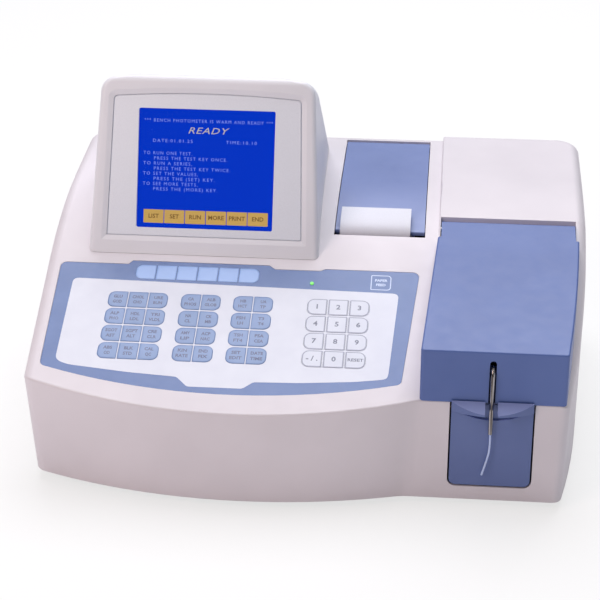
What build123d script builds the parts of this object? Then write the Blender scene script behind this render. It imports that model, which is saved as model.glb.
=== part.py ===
from build123d import *
import math
import os

os.makedirs("parts", exist_ok=True)

# A benchtop photometer for cuvette and flow cell tests. All sizes are in millimetres.
# X runs to the right as the user sees it, Y runs from the front to the back, Z is up,
# and Z = 0 is the table top under the feet. Everything is drawn from the middle of the
# case's deck and moved by ORIGIN_SHIFT in the end, so that the origin is the middle of the
# whole footprint, the outlet at the back included.
ORIGIN_SHIFT = (0.77, -7.51, 0.0)

# ---------------------------------------------------------------- case
WALL = 3.0
FOOT_HEIGHT = 8.0
CASE_BOTTOM = FOOT_HEIGHT
FRONT_Y = -158.0
REAR_Y = 178.0
RIGHT_X = 216.0
RIGHT_FRONT_X = 196.5
RIGHT_BOW_Y = 32.0
LEFT_BOTTOM_X = -209.0
LEFT_TOP_X = -219.0
PLAN_TOP_Z = 200.0
RIGHT_TOP_LEAN = 6.0
BULGE_BOTTOM = (-46.0, -177.5, 395.0)
BULGE_TOP = (-70.0, -179.5, 700.0)
SHOULDER = 8.0
SHOULDER_GROW = 0.05
RIM_ROUND = 1.6
CORNER_FRONT_LEFT = 14.0
CORNER_FRONT_RIGHT = 8.0
CORNER_REAR = 20.0
BULGE_BLEND = 40.0

# the deck line, seen from the side: straight under the keypad, then two long arcs
DECK_FRONT_Z = 90.0
DECK_SLOPE = 0.425
KNEE_Y = -34.0
CROWN = (82.0, 172.5)
DECK_BACK = (190.0, 181.8)

# raised block behind the sample lid
BLOCK_LEFT_X = 97.6
BLOCK_FRONT_Y = -5.0
BLOCK_RISE = 4.0
BLOCK_ROUND = 1.2

# ---------------------------------------------------------------- display pod
POD_X = -90.7
POD_FOOT = (-28.5, 145.0)
POD_LEAN = 20.0
POD_FACE_HEIGHT = 147.0
POD_HALF_BOTTOM = 93.0
POD_HALF_TOP = 86.0
POD_ARCH = 6.6
POD_BACK_FOOT_Y = 152.0
POD_CORNER = 13.0
POD_EDGE = 4.0
POD_CREST = 7.0
POD_WALL = 2.6
SEAM = 0.3
PANEL_BOTTOM = 14.6
PANEL_TOP = 126.6
PANEL_HALF_BOTTOM = 78.9
PANEL_HALF_TOP = 75.6
PANEL_ARCH = 3.2
PANEL_CORNER = 3.0
PANEL_LIP = 4.0
PANEL_THICK = 1.2
PANEL_GROOVE = 0.8
BEVEL = (4.0, 1.2)
SCREEN_WIDTH = 110.0
SCREEN_HEIGHT = 95.6
SCREEN_MIDDLE = 69.4
WINDOW_MARGIN = 4.0
WINDOW_THICK = 1.2
LCD_SIZE = (136.0, 102.0, 9.0)
STACK_GAP = 0.1
POD_CABLE_X = (-115.0, -70.0)
POD_CABLE_Y = (30.0, 60.0)

# ---------------------------------------------------------------- keypad
PAD_LEFT_TOP = -203.5
PAD_LEFT_BOTTOM = -201.5
PAD_RIGHT_TOP = 83.6
PAD_RIGHT_BOTTOM = 74.0
PAD_TOP = 129.0
PAD_APEX = (-55.0, -2.4)
PAD_ARC = 495.0
PAD_CORNER = 5.0
TAB_WIDE = (-146.0, -36.0, 4.0)
TAB_RIGHT = (9.0, 2.2)
PAD_THICK = 0.7
PAD_RECESS = 0.2
DOME_RISE = 0.3
DOME_RADIUS = 4.0
BOARD_THICK = 0.5
POCKET_GAP = 0.25
KEY_LEFT = 5.3
KEY_FRONT = 36.7
KEY_PITCH = (16.55, 17.9)
KEY_SIZE = (15.2, 16.4)
KEY_THICK = 0.7
KEY_PROUD = 0.1
KEY_GAP = 0.2
KEY_END_ROUND = 5.5
KEY_INNER_ROUND = 0.8
KEY_NAMES = [
    ["minus", "0", "reset"],
    ["7", "8", "9"],
    ["4", "5", "6"],
    ["1", "2", "3"],
]
FILM_KEY_PITCH = (16.0, 17.9)
FILM_KEY_BLOCKS = [(-152.0, 3), (-94.2, 2), (-53.0, 2)]
STRIP_KEY_LEFT = -133.9
STRIP_KEY_PITCH = 16.57
STRIP_KEY_V = 121.0
FEED_KEY = (53.6, 118.8)
LED_PLACE = (-0.7, 115.2)
LED_RADIUS = 1.5

# ---------------------------------------------------------------- sample lid
LID_FRONT_Y = -158.8
LID_LEFT_FRONT = 88.2
LID_LEFT_BACK = 96.8
LID_RIGHT_FRONT = 196.7
LID_RIGHT_MIDDLE = (204.6, -84.0)
LID_RIGHT_BACK = 209.4
LID_STEP_Y = -6.2
LID_TOP_FRONT_Z = 132.0
LID_TOP_SLOPE = 0.186
LID_WALL = 2.5
LID_SEAT_GAP = 0.7
LID_CORNER = 2.5
TONGUE_X = (99.4, 206.8)
TONGUE_THICK = 3.5
BARREL_RADIUS = 6.5
HINGE_Y = 15.5
HINGE_PIN_RADIUS = 2.0
RUN_GAP = 0.05
NOTCH_GAP = 0.8
LEDGE = 7.0
SLOT_WIDTH = 5.1
SLOT_TOP_Z = 125.0

# ---------------------------------------------------------------- sipper and press plate
TUBE_X = 141.6
TUBE_Y = -161.0
TUBE_RADIUS = 1.6
TUBE_BORE = 0.8
TUBE_TOP_Z = 120.0
TUBE_BEND = 8.0
TUBE_END_Z = 66.0
TIP_RADIUS = 0.75
PLATE_X = (112.2, 173.0)
PLATE_BOTTOM_Z = 20.3
PLATE_TOP_Z = 89.0
PLATE_THICK = 3.0
PLATE_GAP = 1.3
PLATE_CORNER = 5.0
PLATE_PIVOT = (-149.0, 82.0)
PLATE_PIN_RADIUS = 1.5
EAR_THICK = 3.0
LIP_BACK = (-160.4, 92.3)
LIP_REACH = 9.5
LIP_DROP = 6.5
LIP_NOTCH = 9.4
LIP_HOLLOW = (75.5, 2.2)
CUT_BACK_Y = -146.0
PRESS_TRAVEL = 2.5

# ---------------------------------------------------------------- measuring bay
TRAY_FRONT_Y = -145.0
TRAY_BACK_Y = -10.0
TRAY_FLOOR_Z = 58.0
TRAY_WALL = 2.0
BEAM_Y = -105.0
BEAM_Z = 84.0
BEAM_RADIUS = 3.0
HOLDER_SIZE = (31.0, 40.0, 42.0)
CELL_SIZE = 12.5
CELL_HEIGHT = 34.0
CELL_FIT = 0.1
LAMP_X = (163.0, 190.0)
LAMP_SIZE = (30.0, 36.0)
WHEEL_X = 117.5
WHEEL_THICK = 4.0
WHEEL_RADIUS = 22.5
FILTER_CIRCLE = 16.0
FILTER_RADIUS = 4.5
FILTER_COUNT = 7
SHAFT_RADIUS = 1.5
FILTER_MOTOR = (11.0, 12.0)
PUMP_CENTRE = (150.0, -45.0)
PUMP_BODY_X = (123.0, 177.0)
PUMP_BODY_Y = (-70.0, -18.0)
PUMP_FLOOR_Z = 66.0
PUMP_TOP_Z = 90.0
PUMP_TRACK = 22.4
TUBING_Z = 78.0
TUBING_PATH = 20.6
TUBING_RADIUS = 1.25
TUBING_TURN = 5.6
ROLLER_RADIUS = 4.0
ROLLER_CIRCLE = 14.8
ROLLER_COUNT = 3
PUMP_SHAFT = 2.0
PUMP_MOTOR = (18.5, 34.0)

# ---------------------------------------------------------------- printer
BAY_X = (12.6, 86.4)
BAY_Y = (1.4, 167.2)
COVER_GAP = 0.6
COVER_DROP = 0.8
COVER_THICK = 2.6
COVER_FRONT_Y = 8.5
COVER_BARREL = 2.5
COVER_PIN = 0.9
TUB_BACK_Y = 150.0
TUB_BOTTOM_Z = 100.0
TUB_WALL = 2.0
PAPER_WIDTH = 57.0
PAPER_X = 45.7
PAPER_THICK = 0.3
ROLL_CENTRE = (86.0, 127.0)
ROLL_RADIUS = 22.0
SPINDLE_RADIUS = 6.2
PLATEN_CENTRE = (14.4, 147.0)
PLATEN_RADIUS = 5.5
PLATEN_LENGTH = 58.0
HEAD_Y = (1.6, 7.0)
HEAD_Z = (124.0, 147.0)

# ---------------------------------------------------------------- rear and inside
PANEL_X = (-184.0, 190.0)
PANEL_Z = (12.0, 104.0)
PANEL_OVERLAP = 4.0
PLATE_STEEL = 1.6
FAN_CENTRE = (-140.0, 58.0)
FAN_SIZE = 60.0
FAN_DEPTH = 15.0
FAN_BORE = 27.5
FAN_BLADES = 7
INLET_X = 160.0
INLET_Z = 38.0
SWITCH_X = 118.0
ROCKER_TILT = 8.0
SERIAL_X = -60.0
SERIAL_Z = 38.0
WASTE_X = PUMP_CENTRE[0] + TUBING_PATH + 2 * TUBING_TURN
SCREW_RADIUS = 2.0
SCREW_HEAD = 3.6
POSTS = [(-194.0, -108.0), (-194.0, 150.0), (74.0, -122.0), (-88.0, 160.0), (197.0, 150.0), (187.0, -150.5)]
POST_RADIUS = 4.8
FEET = [(-175.0, -112.0), (170.0, -130.0), (-175.0, 140.0), (180.0, 140.0)]
FOOT_RADIUS = 11.0

DECK_ANGLE = math.atan(DECK_SLOPE)


# ---------------------------------------------------------------- small helpers
def block(x, y, z):
    """A box between two limits on each axis."""
    size = Box(x[1] - x[0], y[1] - y[0], z[1] - z[0])
    return Pos((x[0] + x[1]) / 2, (y[0] + y[1]) / 2, (z[0] + z[1]) / 2) * size


def rod_x(x, y, z, radius):
    """A cylinder along X between two limits."""
    rod = Rot(0, 90, 0) * Cylinder(radius, x[1] - x[0])
    return Pos((x[0] + x[1]) / 2, y, z) * rod


def rod_y(x, y, z, radius):
    """A cylinder along Y between two limits."""
    rod = Rot(90, 0, 0) * Cylinder(radius, y[1] - y[0])
    return Pos(x, (y[0] + y[1]) / 2, z) * rod


def rod_z(x, y, z, radius):
    """A cylinder along Z between two limits."""
    return Pos(x, y, (z[0] + z[1]) / 2) * Cylinder(radius, z[1] - z[0])


def edges_near(shape, test):
    """The edges whose middle passes the test."""
    return [edge for edge in shape.edges() if test(edge.center())]


def tangent_arc(start, angle, end):
    """Centre, radius and end angle of the arc that leaves start at angle and meets end."""
    chord = math.atan2(end[1] - start[1], end[0] - start[0])
    length = math.hypot(end[0] - start[0], end[1] - start[1])
    radius = length / (2 * math.sin(angle - chord))
    centre = (start[0] + radius * math.sin(angle), start[1] - radius * math.cos(angle))
    return centre, radius, 2 * chord - angle


def deck_z(y):
    """Height of the deck line at y."""
    knee = (KNEE_Y, DECK_FRONT_Z + DECK_SLOPE * (KNEE_Y - FRONT_Y))
    if y <= KNEE_Y:
        return DECK_FRONT_Z + DECK_SLOPE * (y - FRONT_Y)
    centre, radius, angle = tangent_arc(knee, DECK_ANGLE, CROWN)
    if y > CROWN[0]:
        centre, radius, angle = tangent_arc(CROWN, angle, DECK_BACK)
    return centre[1] + math.sqrt(radius**2 - (y - centre[0]) ** 2)


def below_deck(lift, floor=0.0, reach=260.0):
    """Everything under the deck line moved up by lift, as wide as twice reach."""
    front = FRONT_Y - 60
    with BuildSketch(Plane.YZ) as side:
        with BuildLine():
            slope = Line((front, deck_z(front) + lift), (KNEE_Y, deck_z(KNEE_Y) + lift))
            arc = TangentArc(slope @ 1, (CROWN[0], CROWN[1] + lift), tangent=slope % 1)
            back = TangentArc(arc @ 1, (DECK_BACK[0], DECK_BACK[1] + lift), tangent=arc % 1)
            Polyline(back @ 1, (DECK_BACK[0], floor), (front, floor), slope @ 0)
        make_face()
    return extrude(side.sketch, amount=reach, both=True)


def case_plan(z, left_x, right_front_x, bulge, inset):
    """The case seen from above at height z, drawn in by inset."""
    apex_x, apex_y, radius = bulge
    middle_y = apex_y + radius
    meet_x = apex_x + math.sqrt(radius**2 - (middle_y - FRONT_Y) ** 2)
    left_y = middle_y - math.sqrt(radius**2 - (left_x - apex_x) ** 2)
    corners = [
        ((left_x, left_y), CORNER_FRONT_LEFT),
        ((left_x, REAR_Y), CORNER_REAR),
        ((RIGHT_X, REAR_Y), CORNER_REAR),
        ((right_front_x, FRONT_Y), CORNER_FRONT_RIGHT),
        ((meet_x, FRONT_Y), BULGE_BLEND),
    ]
    with BuildSketch(Plane.XY.offset(z)) as plan:
        with BuildLine():
            Line((right_front_x, FRONT_Y), (meet_x, FRONT_Y))
            ThreePointArc((meet_x, FRONT_Y), (apex_x, apex_y), (left_x, left_y))
            Line((left_x, left_y), (left_x, REAR_Y))
            Line((left_x, REAR_Y), (RIGHT_X, REAR_Y))
            Line((RIGHT_X, REAR_Y), (RIGHT_X, RIGHT_BOW_Y))
            TangentArc((RIGHT_X, RIGHT_BOW_Y), (right_front_x, FRONT_Y), tangent=(0, -1))
        make_face()
        for place, radius in corners:
            fillet(plan.vertices().sort_by_distance((*place, 0))[0], radius)
        if inset:
            offset(amount=-inset, mode=Mode.REPLACE)
    return plan.sketch.faces()[0]


def case_column(inset, bottom):
    """The case's side walls as one solid column, taller than the case."""
    low = case_plan(bottom, LEFT_BOTTOM_X, RIGHT_FRONT_X, BULGE_BOTTOM, inset)
    top = case_plan(PLAN_TOP_Z, LEFT_TOP_X, RIGHT_FRONT_X + RIGHT_TOP_LEAN, BULGE_TOP, inset)
    return loft([low, top], ruled=True)


def shoulder_plan(z, left_x, right_front_x):
    """The case's sides and back at height z, run on past the front."""
    grow = SHOULDER_GROW
    front = FRONT_Y - 70
    left = left_x - grow
    right = RIGHT_X + grow
    back = REAR_Y + grow
    with BuildSketch(Plane.XY.offset(z)) as plan:
        with BuildLine():
            bow = TangentArc((right, RIGHT_BOW_Y), (right_front_x + grow, FRONT_Y), tangent=(0, -1))
            Polyline(
                bow @ 1,
                (right_front_x + grow - 12, front),
                (left, front),
                (left, back),
                (right, back),
                (right, RIGHT_BOW_Y),
            )
        make_face()
        for place in ((left, back), (right, back)):
            fillet(plan.vertices().sort_by_distance((*place, 0))[0], CORNER_REAR)
    return plan.sketch.faces()[0]


def shoulder_volume(below, top_z):
    """Everything of the endless case that is below a top, with its top edges rounded."""
    low = shoulder_plan(CASE_BOTTOM, LEFT_BOTTOM_X, RIGHT_FRONT_X)
    top = shoulder_plan(PLAN_TOP_Z, LEFT_TOP_X, RIGHT_FRONT_X + RIGHT_TOP_LEAN)
    volume = loft([low, top], ruled=True) & below

    def is_shoulder(point):
        on_top = point.Z > 75 and abs(point.Z - top_z(point.Y)) < 2.5
        return on_top and (abs(point.X) > 190 or point.Y > REAR_Y - 10)

    return fillet(edges_near(volume, is_shoulder), SHOULDER)


def rounded_shoulders(lift):
    """The case's upper volume with rounded side and back edges and an endless front."""
    return shoulder_volume(below_deck(lift), lambda y: deck_z(y) + lift)


def ramp_z(y):
    """Height of the straight rise beside the lid's tongue, from the deck to the raised block."""
    end_y = HINGE_Y + BARREL_RADIUS + NOTCH_GAP
    low = deck_z(BLOCK_FRONT_Y)
    high = deck_z(end_y) + BLOCK_RISE
    return low + (high - low) * (y - BLOCK_FRONT_Y) / (end_y - BLOCK_FRONT_Y)


def ramp_shoulder():
    """The raised block's right shoulder, which rises from the deck without a step."""
    front = FRONT_Y
    back = 60.0
    with BuildSketch(Plane.YZ) as side:
        with BuildLine():
            Polyline((front, ramp_z(front)), (back, ramp_z(back)), (back, 0), (front, 0), close=True)
        make_face()
    below = extrude(side.sketch, amount=260, both=True)
    return shoulder_volume(below, ramp_z)


def is_rim(point):
    """True for the middle of a top edge along the front."""
    return 70 < point.Z < DECK_FRONT_Z + 2 and point.Y < FRONT_Y + 3


def in_keypad(shape):
    """Places a shape drawn flat on the sloping deck; its y runs up the slope."""
    normal = (0, -math.sin(DECK_ANGLE), math.cos(DECK_ANGLE))
    plane = Plane(origin=(0, FRONT_Y, DECK_FRONT_Z), x_dir=(1, 0, 0), z_dir=normal)
    return plane.location * shape


def in_pod(shape):
    """Places a shape drawn flat on the pod's leaning face; its y runs up the face."""
    lean = math.radians(POD_LEAN)
    normal = (0, -math.cos(lean), math.sin(lean))
    plane = Plane(origin=(POD_X, *POD_FOOT), x_dir=(1, 0, 0), z_dir=normal)
    return plane.location * shape


def slab(face, low, high):
    """A flat face made into a plate between two heights."""
    return Pos(0, 0, low) * extrude(face, amount=high - low, dir=(0, 0, 1))


# ---------------------------------------------------------------- keypad outlines
def keypad_outline(grow):
    """The overlay's outline on the deck, grown by a margin."""
    apex_u, apex_v = PAD_APEX

    def arc_v(u):
        return apex_v + PAD_ARC - math.sqrt(PAD_ARC**2 - (u - apex_u) ** 2)

    low_left = (PAD_LEFT_BOTTOM, arc_v(PAD_LEFT_BOTTOM))
    low_right = (PAD_RIGHT_BOTTOM, arc_v(PAD_RIGHT_BOTTOM))
    top = [
        (PAD_RIGHT_TOP, PAD_TOP + TAB_RIGHT[1]),
        (TAB_RIGHT[0], PAD_TOP + TAB_RIGHT[1]),
        (TAB_RIGHT[0] - 4, PAD_TOP),
        (TAB_WIDE[1] + 5, PAD_TOP),
        (TAB_WIDE[1], PAD_TOP + TAB_WIDE[2]),
        (TAB_WIDE[0], PAD_TOP + TAB_WIDE[2]),
        (TAB_WIDE[0] - 3, PAD_TOP),
        (PAD_LEFT_TOP, PAD_TOP),
    ]
    with BuildSketch() as sketch:
        with BuildLine():
            Line(low_right, top[0])
            Polyline(*top)
            Line(top[-1], low_left)
            ThreePointArc(low_left, (apex_u, apex_v), low_right)
        make_face()
        for place in (low_left, low_right, top[0], top[-1]):
            fillet(sketch.vertices().sort_by_distance((*place, 0))[0], PAD_CORNER)
        if grow:
            offset(amount=grow, mode=Mode.REPLACE)
    return sketch.sketch.faces()[0]


def key_places():
    """Name and middle of each number key, in deck coordinates."""
    places = []
    for row, names in enumerate(KEY_NAMES):
        for column, name in enumerate(names):
            place = (KEY_LEFT + column * KEY_PITCH[0], KEY_FRONT + row * KEY_PITCH[1])
            places.append((name, place))
    return places


def film_key_places():
    """Middle of each key that is printed on the film, in deck coordinates."""
    places = [(STRIP_KEY_LEFT + column * STRIP_KEY_PITCH, STRIP_KEY_V) for column in range(6)]
    for left, columns in FILM_KEY_BLOCKS:
        for row in range(4):
            for column in range(columns):
                places.append((left + column * FILM_KEY_PITCH[0], KEY_FRONT + row * FILM_KEY_PITCH[1]))
    places.append(FEED_KEY)
    return places


def keypad_levels():
    """Heights of the keypad's layers below the deck face."""
    film_top = -PAD_RECESS
    film_low = film_top - PAD_THICK
    dome_top = film_low - 0.1
    board_top = dome_top - DOME_RISE
    board_low = board_top - BOARD_THICK
    return film_top, film_low, dome_top, board_top, board_low


def pocket():
    """The shallow pocket in the deck that the keypad lies in."""
    floor = keypad_levels()[4]
    return in_keypad(slab(keypad_outline(POCKET_GAP), floor, 6))


# ---------------------------------------------------------------- lid outlines
def lid_right_edge(inset):
    """Three points of the lid's bowed right side, moved inward by inset."""
    front = (LID_RIGHT_FRONT - inset, LID_FRONT_Y + inset)
    middle = (LID_RIGHT_MIDDLE[0] - inset, LID_RIGHT_MIDDLE[1])
    back = (LID_RIGHT_BACK - inset, LID_STEP_Y - inset)
    return front, middle, back


def lid_plan(inset, front_inset=None):
    """The wide part of the lid seen from above, drawn in by inset."""
    front_y = LID_FRONT_Y + (inset if front_inset is None else front_inset)
    front, middle, back = lid_right_edge(inset)
    front = (front[0], front_y)
    with BuildSketch() as sketch:
        with BuildLine():
            ThreePointArc(front, middle, back)
            Polyline(
                back,
                (LID_LEFT_BACK + inset, LID_STEP_Y - inset),
                (LID_LEFT_FRONT + inset, front_y),
                front,
            )
        make_face()
    return sketch.sketch.faces()[0]


def lid_top_z(y):
    """Height of the lid's flat top at y."""
    return LID_TOP_FRONT_Z + LID_TOP_SLOPE * (y - LID_FRONT_Y)


def hinge_z():
    """Height of the lid's hinge, one barrel radius under its top face."""
    return lid_top_z(HINGE_Y) - BARREL_RADIUS * math.hypot(1, LID_TOP_SLOPE)


def under_lid_top(drop):
    """Everything under the lid's top face, less a drop."""
    front = LID_FRONT_Y - 20
    back = HINGE_Y + 30
    with BuildSketch(Plane.YZ) as side:
        with BuildLine():
            Polyline(
                (front, lid_top_z(front) - drop),
                (back, lid_top_z(back) - drop),
                (back, 0),
                (front, 0),
                close=True,
            )
        make_face()
    return extrude(side.sketch, amount=260, both=True)


# ---------------------------------------------------------------- case parts
def make_upper_case():
    """The moulded cover: walls, deck, raised block, pockets, openings and screw posts."""
    column = case_column(0, CASE_BOTTOM)
    skin = rounded_shoulders(0) & column
    skin = fillet(edges_near(skin, is_rim), RIM_ROUND)

    high = rounded_shoulders(BLOCK_RISE) & column
    raised = high & block((BLOCK_LEFT_X, TONGUE_X[1]), (BLOCK_FRONT_Y, 260), (CASE_BOTTOM, 260))
    left = edges_near(raised, lambda p: abs(p.X - BLOCK_LEFT_X) < 0.5 and p.Z > 150)
    raised = fillet(left, BLOCK_ROUND)
    ramp_end = HINGE_Y + BARREL_RADIUS + NOTCH_GAP
    behind = high & block((TONGUE_X[1], 260), (ramp_end, 260), (CASE_BOTTOM, 260))
    beside = block((TONGUE_X[1], 260), (BLOCK_FRONT_Y - 8, ramp_end), (CASE_BOTTOM, 260))
    skin = skin + raised + behind + (ramp_shoulder() & high & beside)

    drop = WALL * math.hypot(1, DECK_SLOPE)
    room = case_column(WALL, CASE_BOTTOM - 1) & below_deck(-drop, floor=-10)
    case = skin - room

    foot = CASE_BOTTOM + PLATE_STEEL + STACK_GAP
    posts = [rod_z(x, y, (foot, 200), POST_RADIUS) for x, y in POSTS]
    bosses = hinge_bosses()
    for piece in posts + bosses:
        case = case + (piece & room)

    for x, y in POSTS:
        case = case - rod_z(x, y, (0, 30), SCREW_RADIUS + 0.03)
    case = case - pocket()
    case = case - bay_openings()
    case = case - block(PANEL_X, (REAR_Y - WALL - 1, REAR_Y + 10), PANEL_Z)
    case = case - block(POD_CABLE_X, POD_CABLE_Y, (110, 220))
    return case


def hinge_bosses():
    """Bosses under the deck that hold the three hinge pins."""
    z = hinge_z()
    cover_z = cover_hinge_z()
    pivot_y, pivot_z = PLATE_PIVOT
    bosses = [
        block((TONGUE_X[0] - 9, TONGUE_X[0] - NOTCH_GAP), (HINGE_Y - 6, HINGE_Y + 6), (z - 7, z + 5)),
        block((TONGUE_X[1] + NOTCH_GAP, RIGHT_X), (HINGE_Y - 6, HINGE_Y + 6), (z - 7, z + 5)),
        block((BAY_X[0] - 5, BAY_X[0]), (BAY_Y[1] - 9, BAY_Y[1] + 3), (cover_z - 3, cover_z + 3)),
        block((BAY_X[1], BAY_X[1] + 5), (BAY_Y[1] - 9, BAY_Y[1] + 3), (cover_z - 3, cover_z + 3)),
        block((PLATE_X[0] - 7, PLATE_X[0] - PLATE_GAP), (FRONT_Y, pivot_y + 4), (pivot_z - 4, 100)),
        block((PLATE_X[1] + PLATE_GAP, PLATE_X[1] + 7), (FRONT_Y, pivot_y + 4), (pivot_z - 4, 100)),
    ]
    return bosses


def bay_openings():
    """All openings in the deck and the front wall, with the pin holes."""
    inside = LEDGE
    lid_bay = slab(lid_plan(inside, TRAY_FRONT_Y - 1 - LID_FRONT_Y), 60, 200)
    notch_x = (TONGUE_X[0] - NOTCH_GAP, TONGUE_X[1] + NOTCH_GAP)
    notch_back = HINGE_Y + BARREL_RADIUS + NOTCH_GAP
    notch = block(notch_x, (LID_STEP_Y - LEDGE - 2, notch_back), (120, 200))
    plate_x = (PLATE_X[0] - PLATE_GAP, PLATE_X[1] + PLATE_GAP)
    plate = block(plate_x, (-200, CUT_BACK_Y), (PLATE_BOTTOM_Z - PLATE_GAP, 120))
    low = edges_near(plate, lambda p: abs(p.Z - PLATE_BOTTOM_Z + PLATE_GAP) < 0.1 and abs(p.X - 142) > 25)
    plate = fillet(low, PLATE_CORNER + PLATE_GAP)
    printer = block(BAY_X, BAY_Y, (110, 220))
    pins = hinge_pin_rods(RUN_GAP / 2)
    cut = lid_bay + notch + plate + printer
    for pin in pins:
        cut = cut + pin
    return cut


def cover_hinge_z():
    """Height of the printer cover's hinge."""
    y = BAY_Y[1] - COVER_GAP - COVER_BARREL
    return deck_z(y) - COVER_DROP - COVER_BARREL


def hinge_pin_rods(extra):
    """The lid pin, the printer cover pin and the two press plate pins."""
    cover_y = BAY_Y[1] - COVER_GAP - COVER_BARREL
    ear = 4.5
    left = (PLATE_X[0] - 5, PLATE_X[0] + ear)
    right = (PLATE_X[1] - ear, PLATE_X[1] + 5)
    return [
        rod_x((TONGUE_X[0] - 6, TONGUE_X[1] + 5), HINGE_Y, hinge_z(), HINGE_PIN_RADIUS + extra),
        rod_x((BAY_X[0] - 4, BAY_X[1] + 4), cover_y, cover_hinge_z(), COVER_PIN + extra),
        rod_x(left, *PLATE_PIVOT, PLATE_PIN_RADIUS + extra),
        rod_x(right, *PLATE_PIVOT, PLATE_PIN_RADIUS + extra),
    ]


def make_hinge_pins():
    """Four steel pins that the lid, the printer cover and the press plate turn on."""
    return Compound(hinge_pin_rods(0))


def make_base_plate():
    """The steel sheet that closes the case from below."""
    low = case_plan(CASE_BOTTOM, LEFT_BOTTOM_X, RIGHT_FRONT_X, BULGE_BOTTOM, WALL + 0.3)
    sheet = extrude(low, amount=PLATE_STEEL, dir=(0, 0, 1))
    for x, y in POSTS:
        sheet = sheet - rod_z(x, y, (0, 20), SCREW_RADIUS + 0.3)
    return sheet


def make_feet():
    """Four rubber feet glued under the base plate."""
    feet = []
    for x, y in FEET:
        foot = rod_z(x, y, (0, FOOT_HEIGHT), FOOT_RADIUS)
        feet.append(chamfer(foot.edges().sort_by(Axis.Z)[0], 1.5))
    return Compound(feet)


def make_case_screws():
    """Pan head screws that hold the base plate to the posts."""
    screws = []
    for x, y in POSTS:
        head = rod_z(x, y, (CASE_BOTTOM - 2.2, CASE_BOTTOM), SCREW_HEAD)
        head = fillet(head.edges().sort_by(Axis.Z)[0], 1.0)
        shank = rod_z(x, y, (CASE_BOTTOM, CASE_BOTTOM + 16), SCREW_RADIUS)
        drive = rod_z(x, y, (CASE_BOTTOM - 3, CASE_BOTTOM - 1), 1.2)
        screws.append(head + shank - drive)
    return Compound(screws)


def make_rear_panel():
    """The steel rear panel with its fan grille and connector holes."""
    back = REAR_Y - WALL - 0.1
    x = (PANEL_X[0] - PANEL_OVERLAP, PANEL_X[1] + PANEL_OVERLAP)
    z = (PANEL_Z[0] - 1.6, PANEL_Z[1] + PANEL_OVERLAP)
    panel = block(x, (back - PLATE_STEEL, back), z)
    for row in range(6):
        height = FAN_CENTRE[1] - 22.5 + 9 * row
        half = math.sqrt(27.0**2 - (height - FAN_CENTRE[1]) ** 2)
        slot = block((FAN_CENTRE[0] - half, FAN_CENTRE[0] + half), (back - 9, back + 9), (height - 2.5, height + 2.5))
        panel = panel - slot
    panel = panel - block((INLET_X - 14, INLET_X + 14), (back - 9, back + 9), (INLET_Z - 11, INLET_Z + 11))
    panel = panel - block((SWITCH_X - 11, SWITCH_X + 11), (back - 9, back + 9), (INLET_Z - 15, INLET_Z + 15))
    panel = panel - block((SERIAL_X - 9, SERIAL_X + 9), (back - 9, back + 9), (SERIAL_Z - 5.5, SERIAL_Z + 5.5))
    panel = panel - rod_y(WASTE_X, (back - 9, back + 9), TUBING_Z, 4.1)
    return panel


# ---------------------------------------------------------------- display pod
def face_outline(low, high, half_low, half_high, arch, corner, grow=0.0):
    """A tapering outline with an arched top, on the pod's face."""
    with BuildSketch() as sketch:
        with BuildLine():
            Polyline((-half_high, high), (-half_low, low), (half_low, low), (half_high, high))
            ThreePointArc((half_high, high), (0, high + arch), (-half_high, high))
        make_face()
        if corner:
            for place in ((-half_high, high), (half_high, high)):
                fillet(sketch.vertices().sort_by_distance((*place, 0))[0], corner)
        if grow:
            offset(amount=grow, mode=Mode.REPLACE)
    return sketch.sketch.faces()[0]


def pod_solid(inset):
    """The pod as a solid, drawn in by inset, down to the deck."""
    lean = math.radians(POD_LEAN)
    top_y = POD_FOOT[0] + POD_FACE_HEIGHT * math.sin(lean)
    top_z = POD_FOOT[1] + POD_FACE_HEIGHT * math.cos(lean)
    low = 20.0
    with BuildSketch(Plane.YZ) as side:
        with BuildLine():
            Polyline(
                (POD_FOOT[0] - low * math.tan(lean), POD_FOOT[1] - low),
                (top_y, top_z),
                (POD_BACK_FOOT_Y, deck_z(POD_BACK_FOOT_Y)),
                (POD_BACK_FOOT_Y, POD_FOOT[1] - low),
                close=True,
            )
        make_face()
        tip = side.vertices().sort_by_distance((top_y, top_z, 0))[0]
        fillet(tip, POD_CREST)
        if inset:
            offset(amount=-inset, mode=Mode.REPLACE)
    lengthwise = extrude(side.sketch, amount=200, both=True)
    arch_foot = POD_FACE_HEIGHT - POD_ARCH
    widen = low * (POD_HALF_BOTTOM - POD_HALF_TOP) / arch_foot
    outline = face_outline(
        -low,
        arch_foot,
        POD_HALF_BOTTOM + widen,
        POD_HALF_TOP,
        POD_ARCH,
        POD_CORNER,
        grow=-inset,
    )
    across = slab(outline, -220, 30)
    return (lengthwise & in_pod(across)) - below_deck(SEAM, floor=60)


def make_display_housing():
    """The moulded pod that carries the screen, open underneath and at the panel."""
    outer = pod_solid(0)
    front = edges_near(outer, lambda p: p.Z > POD_FOOT[1] + 6 and p.Y < 20)
    outer = fillet(front, POD_EDGE)
    inner = pod_solid(POD_WALL)
    opening = in_pod(slab(panel_outline(0), -8, 8))
    return outer - inner - opening - panel_bevel()


def panel_outline(grow):
    """The outline of the opening for the silver panel, larger by grow on every side."""
    return face_outline(
        PANEL_BOTTOM - grow,
        PANEL_TOP + grow,
        PANEL_HALF_BOTTOM + grow,
        PANEL_HALF_TOP + grow,
        PANEL_ARCH,
        PANEL_CORNER + max(grow, 0),
    )


def panel_bevel():
    """The wide shallow bevel round the opening, as a solid to cut away."""
    width, depth = BEVEL
    low = Pos(0, 0, -depth) * panel_outline(0)
    high = Pos(0, 0, depth) * panel_outline(2 * width)
    return in_pod(loft([low, high], ruled=True))


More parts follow.
